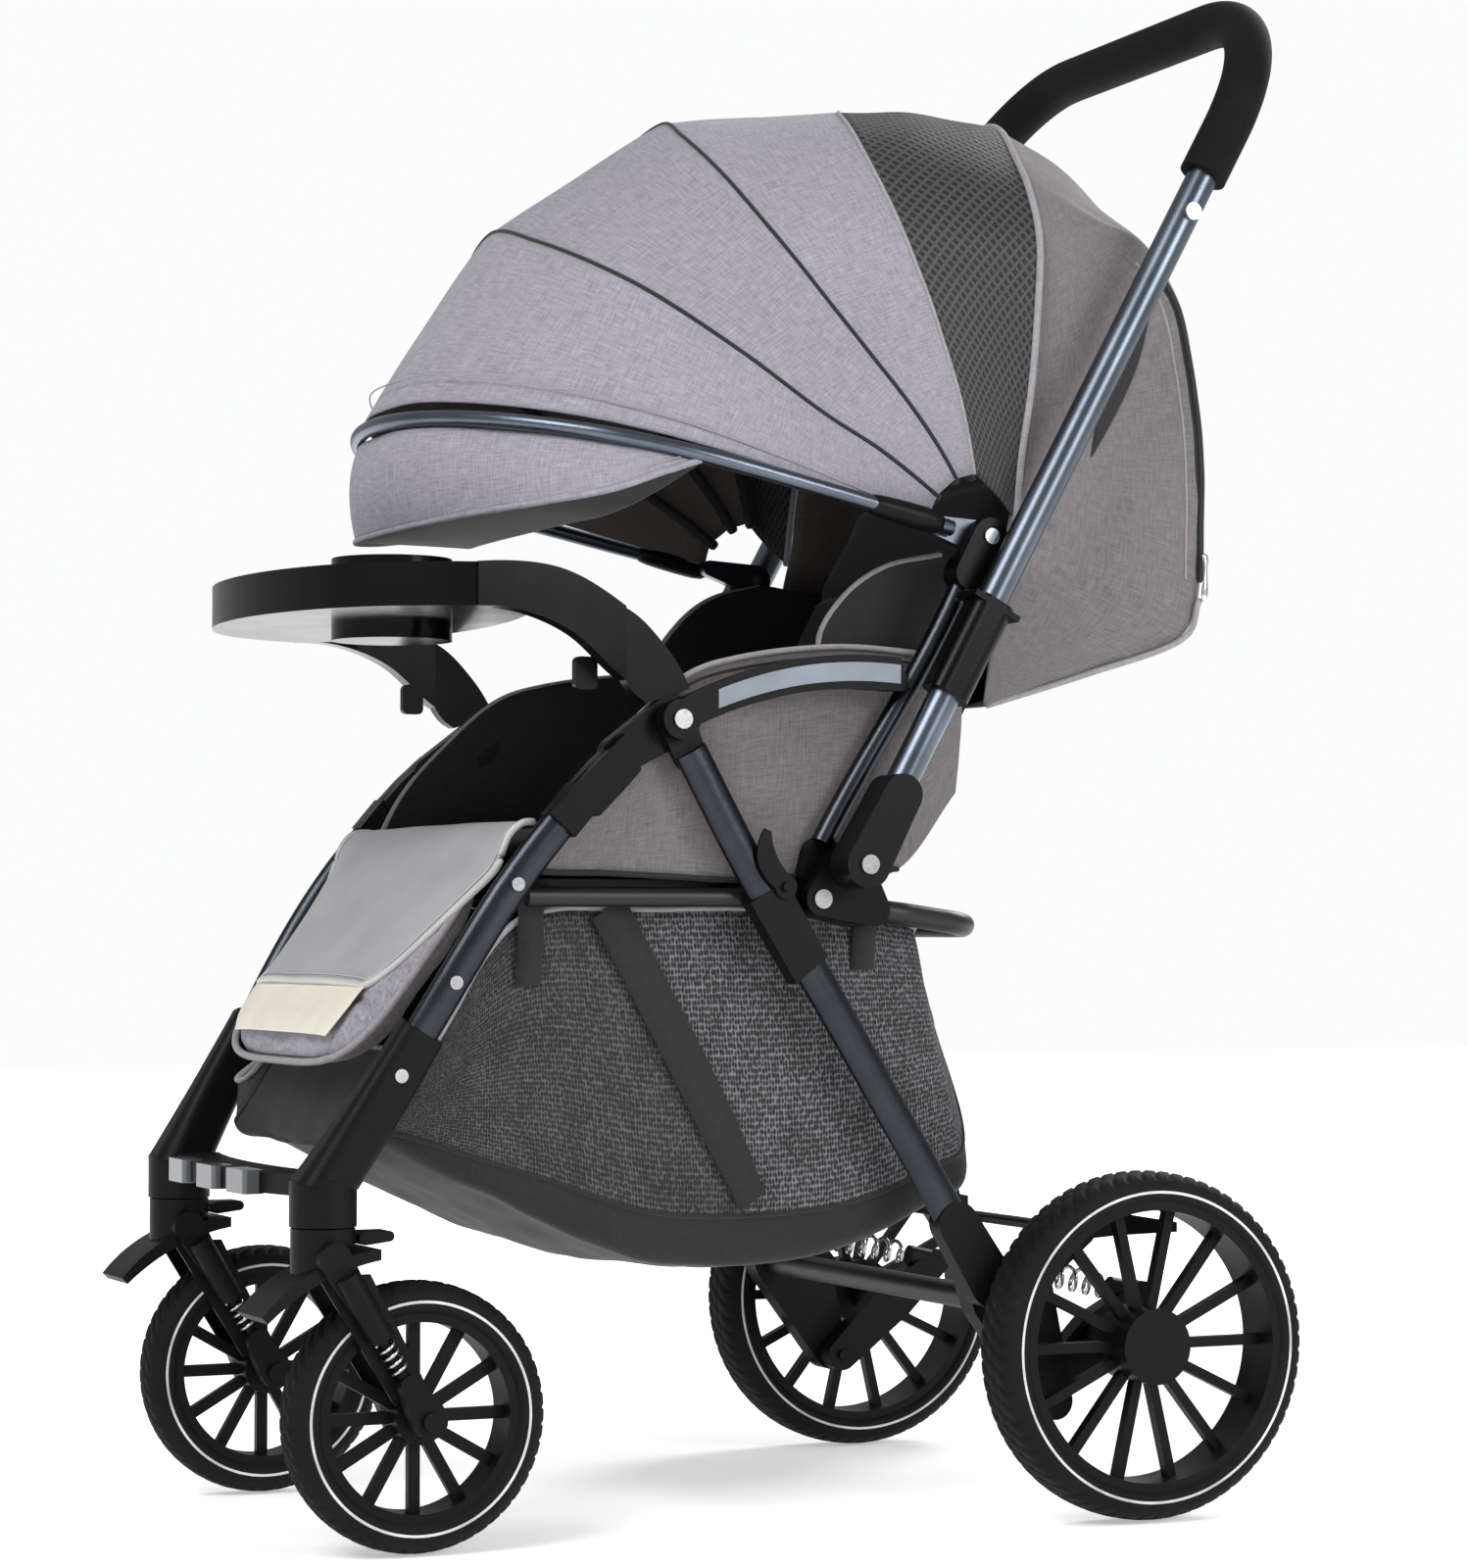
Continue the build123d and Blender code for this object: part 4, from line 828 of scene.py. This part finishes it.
class StrollerLegRest(bpy.types.Operator):
    """Leg rest pad with the coated flap over it and the ivory band across it"""
    bl_idname = "stroller.leg_rest"
    bl_label = "Leg rest"

    def execute(self, context):
        m = finishes()
        down = np.array([0, -np.cos(LEG_SLOPE), -np.sin(LEG_SLOPE)])
        out = np.array([0, -np.sin(LEG_SLOPE), np.cos(LEG_SLOPE)])
        hinge = np.array(LEG_HINGE)
        axes = [(1, 0, 0), down, out]
        middle = hinge + 84 * down - 2 * out
        pad = pillow("leg_rest_pad", m["leg"], middle, (146, 85, 13), axes, 0.5)
        blown_up(pad, 3.5)
        painted(pad, [m["border"]],
                lambda x, y, z: (y - hinge[1]) * out[1] + (z - hinge[2]) * out[2] < 2)
        stitched_in(pad, axes, middle, [(1, 38, -128, 128)], 2.5, 3.0)
        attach(pad, "legrest")
        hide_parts("legrest_pad")

        def lies(rows):
            """Net of places on the leg rest from rows of (along, half width, height, drop): the
            row's ends turn down by drop over the pad's edges."""
            net = []
            for along, half, high, drop in rows:
                row = [(w * half, high - drop * abs(w) ** 6) for w in
                       (-1, -0.93, -0.8, -0.5, 0, 0.5, 0.8, 0.93, 1)]
                net.append([tuple(hinge + along * down + h * out + np.array([x, 0, 0]))
                            for x, h in row])
            return net

        grid = patch(lies([(-34, 166, 1, 2), (-26, 168, 11, 3), (-12, 167, 16, 6),
                           (8, 166, 18, 14), (30, 152, 20, 16), (58, 138, 21, 15),
                           (86, 126, 22, 13), (104, 119, 22, 9), (114, 112, 21, 5)]), 61, 71)
        v, u = np.linspace(0, 1, 61)[:, None], np.linspace(-1, 1, 71)[None, :]
        grid = push(grid, -1.0 * ripple(grid, 110) * (0.3 + v) * (1 - u ** 4))
        flap = cloth_sheet("leg_rest_flap", grid, [m["flap"], m["dark"]],
                           tuple(hinge + 60 * down - 60 * out), 1.6)
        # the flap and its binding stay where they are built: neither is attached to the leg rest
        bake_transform(flap)
        border = np.concatenate([grid[:, 0], grid[-1, 1:-1], grid[::-1, -1]])
        stitch = np.concatenate([grid[:-5, 4], grid[-5, 5:-5], grid[-6::-1, -5]]) + 0.5 * out
        bind = put_mesh("flap_binding", [tube(even_path(border[::4], 161), 2.5, 10),
                                         tube(even_path(stitch[::4], 161), 0.5, 6)], m["trim"])
        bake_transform(bind)
        ribbon = patch(lies([(106, 114, 18, 2), (118, 113, 19, 2), (130, 111, 19, 2),
                             (142, 107, 18.5, 2), (154, 98, 16.5, 2)]), 25, 61)
        band = cloth_sheet("leg_rest_band", ribbon, [m["band"]],
                           tuple(hinge + 130 * down - 60 * out), 1.2)
        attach(band, "legrest")
        turn = np.linspace(-0.2 * np.pi, 1.2 * np.pi, 181)[:, None]
        loop = (hinge + (84 + 85 * np.sign(np.sin(turn)) * np.abs(np.sin(turn)) ** 0.5) * down
                + 3 * out + 146 * np.sign(np.cos(turn)) * np.abs(np.cos(turn)) ** 0.5
                * np.array([1, 0, 0]))
        loop = even_path(loop[::4], 161)
        piping = put_mesh("leg_rest_piping", [tube(loop, 2.6, 12)], m["piping"])
        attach(piping, "legrest")
        return {"FINISHED"}


# ------------------------------------------------------------------ basket
class StrollerBasket(bpy.types.Operator):
    """Sagging mesh basket with its floor, rim binding and straps"""
    bl_idname = "stroller.basket"
    bl_label = "Basket"

    def execute(self, context):
        m = finishes()
        # floor line and rim line from front to back, with half widths
        floor = [(-312, 262, 138), (-296, 262, 150), (-196, 214, 160), (-102, 181, 163),
                 (14, 183, 163), (97, 214, 160), (130, 236, 152)]
        rim = [(-305, 300, 150), (-272, 328, 158), (-214, 411, 163), (-118, 419, 165),
               (0, 419, 165), (74, 410, 160), (84, 404, 150)]
        net = []
        for k, ((fy, fz, fw), (ry, rz, rw)) in enumerate(zip(floor, rim)):
            end = k in (0, len(floor) - 1)
            sag = 1 if end else 6
            wall = [(rw, ry, rz)] + [
                (fw + (rw - fw) * w + 5 * np.sin(np.pi * w) * (not end), fy + (ry - fy) * w,
                 fz + (rz - fz) * w) for w in (0.7, 0.4, 0.16)]
            net.append(both_sides(wall + [(fw * 0.95, fy, fz + 3), (fw * 0.8, fy, fz - 1),
                                          (fw * 0.4, fy, fz - sag), (0, fy, fz - sag - 1)]))
        front = [(x * 0.92, y * 0.4 + net[0][0][1] * 0.6 + 2, z * 0.5 + 300 * 0.5)
                 for x, y, z in net[0]]
        rear = [(x * 0.94, 0.5 * y + 0.5 * 84 + 4, 0.5 * z + 0.5 * 400) for x, y, z in net[-1]]
        rows, columns, corner = 121, 141, 31
        grid = patch([[(x * 0.96, -276, 326) for x, y, z in net[0]], front, *net, rear,
                      [(x * 0.96, 82, 403) for x, y, z in net[-1]]], rows, columns)
        fade = np.sin(np.pi * np.linspace(0, 1, rows))[:, None] ** 0.5
        side = np.sin(np.pi * np.linspace(0, 1, columns))[None, :] ** 0.5
        grid = push(grid, fade * side * (2.4 * ripple(grid, 140) + 1.0 * ripple(grid, 52)))
        grid[..., 0] = np.clip(grid[..., 0], -171, 171)
        basket = cloth_sheet("basket_mesh", grid, [m["mesh"]], (0, -90, 330), 1.4)
        basket.modifiers[0].material_offset = 0

        def region(x, y, z):
            """Pale mesh behind the strap, before it the same mesh at half brightness as painted
            shade, and dark cloth below the corner lines, which run along the grid front to back."""
            number = (y + (z - 420) * 0.54 > -152).astype(int)
            number = number.reshape(rows - 1, columns - 1)
            number[:, corner:-corner] = 2
            return number.ravel()

        painted(basket, [m["mesh_pale"], m["dark"]], region)
        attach(basket, "chassis")
        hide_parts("basket")
        parts = []
        for edge, steps in ((grid[:, 0], 161), (grid[:, -1], 161), (grid[0], 141), (grid[-1], 141)):
            parts.append(tube(even_path(edge[::4], steps), 3.0, 10, 0.7, number=1))
        for edge in (grid[:, corner], grid[:, -corner - 1]):
            parts.append(tube(even_path(edge[::4], 161), 1.7, 8))
        for sign in (1, -1):
            slant = even_path([(sign * 170, -152, 420), (sign * 172.5, -126, 372),
                               (sign * 173, -92, 310), (sign * 172, -60, 250),
                               (sign * 170, -46, 222)], 41)
            width = np.concatenate([np.full(30, 14.0), np.linspace(14, 11, 11)])
            parts.append(strap(slant, width[:, None] * [0, 0.83, 0.55], [sign, 0, 0]))
            for y0, z0 in ((-206, 374), (40, 384)):
                hang = even_path([(sign * 168, y0, z0 + 52), (sign * 169, y0 - 1, z0 + 24),
                                  (sign * 167, y0 - 2, z0 - 6)], 21)
                parts.append(strap(hang, [0, 9, 0], [sign, 0, 0]))
        for gx in (-90, 90):
            hang = even_path([(gx, 86, 402), (gx, 104, 411), (gx, 122, 416)], 15)
            parts.append(strap(hang, [9, 0, 0], [0, 0, 8 / 9]))
        trim = put_mesh("basket_straps", parts, [m["dark"], m["piping"]])
        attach(trim, "chassis")
        return {"FINISHED"}


# ------------------------------------------------------------------ wheels
def tyre_section(half, radius, seat):
    """Tyre outline as (across, reach) from one bead over the tread to the other."""
    side = [(-half + 3, seat), (-half + 0.5, seat + 3), (-half, seat + 8),
            (-half + 1.2, radius - 8), (-half + 4.2, radius - 4.2), (-half * 0.55, radius - 1.4),
            (0, radius - 0.5)]
    return smooth_path(side + [(-a, b) for a, b in side[:-1][::-1]], 61)


class StrollerTyres(bpy.types.Operator):
    """Tyres with moulded tread blocks and a pale ring on each wall"""
    bl_idname = "stroller.tyres"
    bl_label = "Tyres"

    def execute(self, context):
        m, s = finishes(), context.scene.stroller_sizes
        for end, centre, radius, width, blocks, ring in (
                ("rear", (226, 224, 120), 120, 45, 66, 105.7),
                ("front", (160, -285, 89), 89, 36, 50, 75.4)):
            half, seat = width / 2, radius - 21
            across, reach = tyre_section(half, radius, seat).T
            turn = np.linspace(0, 2 * np.pi, blocks * 8, endpoint=False)[:, None]
            tread = np.clip((reach - (radius - 7.0)) / 3.0, 0, 1)[None, :]
            zigzag = blocks * turn + 2.6 * np.sign(across) * np.cos(across / half * 4.0)
            cut = np.clip(np.cos(zigzag) * 3.0 - 1.4, 0, 1)
            lane = np.exp(-((np.abs(across) - half * 0.26) / 1.1) ** 2)[None, :]
            depth = s.tread / MM * tread * np.maximum(cut, lane)
            r = reach[None, :] - depth
            for word, side in SIDES:
                grid = np.stack([side * centre[0] + across[None, :] + 0 * r,
                                 centre[1] + r * np.cos(turn), centre[2] + r * np.sin(turn)], -1)
                a = np.linspace(0, 2 * np.pi, 240, endpoint=False)[:, None]
                bands = [(grid, True, True, 0)]
                w = s.stripe / MM
                for outward in (1, -1):
                    across_ring = np.array([0.0, 0.45, 0.45, 0.0, -0.6, -0.6])[None, :]
                    reach_ring = ring + w * np.array([-1, -0.7, 0.7, 1, 0.7, -0.7])[None, :]
                    wall = side * centre[0] + outward * (half - 0.1 + across_ring)
                    stripe = np.stack([wall + 0 * a, centre[1] + reach_ring * np.cos(a),
                                       centre[2] + reach_ring * np.sin(a)], -1)
                    bands.append((stripe, True, True, 1))
                tyre = put_mesh(f"{end}_tread_{word}", bands, [m["tyre"], m["stripe"]])
                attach(tyre, f"{end}_wheel_{word}")
                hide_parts(f"{end}_tyre_{word}")
        return {"FINISHED"}


# ------------------------------------------------------------------ springs
# each end's seat that stays (y, z), the direction away from it, the body and the joint, with the
# side's name after a last _, and the share of its length left when the suspension is fully in
COILS = (("front", (-316.4, 142.2), (0, 0.508, -0.861), "caster_", "front_suspension_", 0.74),
         ("rear", (163, 170), (0, 0.976, -0.217), "rear_frame", "rear_suspension_", 0.86))


class StrollerSprings(bpy.types.Operator):
    """Coil springs copied from the frame's own, in steel, each riding with its body"""
    bl_idname = "stroller.springs"
    bl_label = "Springs"

    def execute(self, context):
        m = finishes()
        for end, seat, away, body, joint, left_over in COILS:
            for word, _ in SIDES:
                part = f"{end}_spring_{word}"
                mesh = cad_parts[part].data.copy()
                mesh.materials.clear()
                mesh.materials.append(m["steel"])
                bm = bmesh.new()
                bm.from_mesh(mesh)
                bmesh.ops.remove_doubles(bm, verts=bm.verts, dist=1e-6)
                bm.to_mesh(mesh)
                bm.free()
                mesh.polygons.foreach_set("use_smooth", np.ones(len(mesh.polygons), bool))
                coil = bpy.data.objects.new(f"{end}_coil_{word}", mesh)
                context.scene.collection.objects.link(coil)
                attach(coil, body + word if body.endswith("_") else body)
                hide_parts(part)
                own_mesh(coil)
        return {"FINISHED"}


# ------------------------------------------------------------------ finishes of the frame
NODE_FINISH = {
    "tube_dark": "front_legs support_tubes rear_legs",
    "tube_bright": "handle_tube canopy_bow",
    "black_metal": "seat_frame u_bar rear_cross_tube",
    "inlay": "armrest_inlays",
    "steel": "frame_bolts handle_bolts front_spring_left front_spring_right rear_spring_left "
             "rear_spring_right",
    "gloss": "tray",
    "smoke": "step_plates",
    "foam": "foam_grip",
    "satin": "armrests brake_pedals lock_sleeve_left lock_sleeve_right knuckles hub_brackets "
             "tray_button_left tray_button_right",
}


class StrollerFinishes(bpy.types.Operator):
    """Gives every part of the frame the finish of its real material"""
    bl_idname = "stroller.finishes"
    bl_label = "Frame finishes"

    def execute(self, context):
        m = finishes()
        chosen = {part: name for name, parts in NODE_FINISH.items() for part in parts.split()}
        for part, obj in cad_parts.items():
            mat = m[chosen.get(part, "plastic")]
            if not obj.material_slots:
                obj.data.materials.append(mat)
            for place in obj.material_slots:
                place.material = mat
        return {"FINISHED"}


# ------------------------------------------------------------------ stage
FLOOR_EDGE, FLOOR_HEIGHT = 9000.0, -0.6   # just under the tyres, so the two don't share a surface
GLOW, FAR_GLOW = 0.42, 1.0                # the floor's own light, near the stroller and far off
BACKDROP_LIGHT, BACKDROP_SEEN = 0.44, 1.0
CAMERA_PLACE, CAMERA_AIM, LENS = (2.62593, -1.17177, 0.40469), (0.0, 0.0291, 0.5106), 91.83


class StrollerStage(bpy.types.Operator):
    """Pale floor, soft studio lights and the camera"""
    bl_idname = "stroller.stage"
    bl_label = "Studio"

    def execute(self, context):
        scene = context.scene
        run = np.linspace(-FLOOR_EDGE, FLOOR_EDGE, 9)
        floor_grid = np.stack([*np.meshgrid(run, run, indexing="ij"),
                               np.full((9, 9), FLOOR_HEIGHT)], -1)
        paint = pored_rubber("matte studio paint", hex_linear("#EDEDEE"), 3.0, 0.9)
        for ramp in [n for n in paint.node_tree.nodes if n.type == "VALTORGB"]:
            for stop in ramp.color_ramp.elements:
                stop.color = (0.86, 0.86, 0.87, 1)
        glow = next(n for n in paint.node_tree.nodes if n.type == "BSDF_PRINCIPLED")
        glow.inputs["Emission Color"].default_value = (1, 1, 1, 1)
        # the floor turns as bright as the backdrop where it runs out behind the stroller
        away = node(paint, "VectorMath", {0: node(paint, "NewGeometry")}, operation="LENGTH", out=1)
        bright = node(paint, "MapRange", {"Value": away}, {"From Min": 0.9, "From Max": 2.4,
                                                           "To Min": GLOW, "To Max": FAR_GLOW})
        paint.node_tree.links.new(bright, glow.inputs["Emission Strength"])
        floor = put_mesh("studio_floor", [(floor_grid, False, False, 0)], paint, (0, 0, -1000))
        world = bpy.data.worlds.new("studio")
        world.use_nodes = True
        back = world.node_tree.nodes["Background"]
        back.inputs["Color"].default_value = (0.97, 0.975, 0.98, 1)
        # the bare backdrop looks white, and lights the stroller more softly than it looks
        seen = node(world, "LightPath")
        strength = node(world, "Math", {0: seen}, {1: BACKDROP_SEEN - BACKDROP_LIGHT,
                                                     2: BACKDROP_LIGHT}, operation="MULTIPLY_ADD")
        world.node_tree.links.new(strength, back.inputs["Strength"])
        scene.world = world
        scene.view_settings.view_transform = "Standard"
        for name, place, aim, size, power in (
                ("key", (1.6, -2.6, 3.0), (0, 0, 0.5), 1.8, 100),
                ("side", (3.4, 1.6, 1.8), (0, 0.1, 0.5), 1.4, 62),
                ("back", (-1.6, 2.6, 2.6), (0, 0, 0.7), 1.4, 70)):
            lamp = bpy.data.lights.new(name, "AREA")
            lamp.size, lamp.energy = size, power
            obj = bpy.data.objects.new(name, lamp)
            obj.location = place
            obj.rotation_euler = (Vector(aim) - Vector(place)).to_track_quat("-Z", "Y").to_euler()
            scene.collection.objects.link(obj)
        camera = bpy.data.cameras.new("camera")
        camera.lens, camera.sensor_width = LENS, 36.0
        camera.clip_end = 100.0
        obj = bpy.data.objects.new("camera", camera)
        obj.location = CAMERA_PLACE
        look = Vector(CAMERA_AIM) - obj.location
        obj.rotation_euler = look.to_track_quat("-Z", "Y").to_euler()
        scene.collection.objects.link(obj)
        scene.camera = obj
        return {"FINISHED"}


class VIEW3D_PT_stroller(bpy.types.Panel):
    """Stroller pieces, their colours and sizes"""
    bl_label = "Stroller"
    bl_idname = "VIEW3D_PT_stroller"
    bl_space_type = "VIEW_3D"
    bl_region_type = "UI"
    bl_category = "Stroller"

    def draw(self, context):
        for piece in PIECES:
            self.layout.operator(piece.bl_idname)
        for group in (context.scene.stroller_colours, context.scene.stroller_sizes):
            column = self.layout.column(align=True)
            for key in group.__annotations__:
                column.prop(group, key)


PIECES = (StrollerCanopy, StrollerHood, StrollerSeat, StrollerLegRest, StrollerBasket,
          StrollerTyres, StrollerSprings, StrollerFinishes, StrollerStage)
CLASSES = (StrollerColours, StrollerSizes, *PIECES, VIEW3D_PT_stroller)


def register():
    for cls in CLASSES:
        bpy.utils.register_class(cls)
    bpy.types.Scene.stroller_colours = bpy.props.PointerProperty(type=StrollerColours)
    bpy.types.Scene.stroller_sizes = bpy.props.PointerProperty(type=StrollerSizes)


def unregister():
    del bpy.types.Scene.stroller_sizes
    del bpy.types.Scene.stroller_colours
    for cls in reversed(CLASSES):
        bpy.utils.unregister_class(cls)


def main():
    """Builds every piece in order."""
    register()
    for piece in PIECES:
        area, name = piece.bl_idname.split(".")
        if getattr(getattr(bpy.ops, area), name)() != {"FINISHED"}:
            raise RuntimeError(f"{piece.bl_label} didn't finish")


if __name__ == "__main__":
    main()
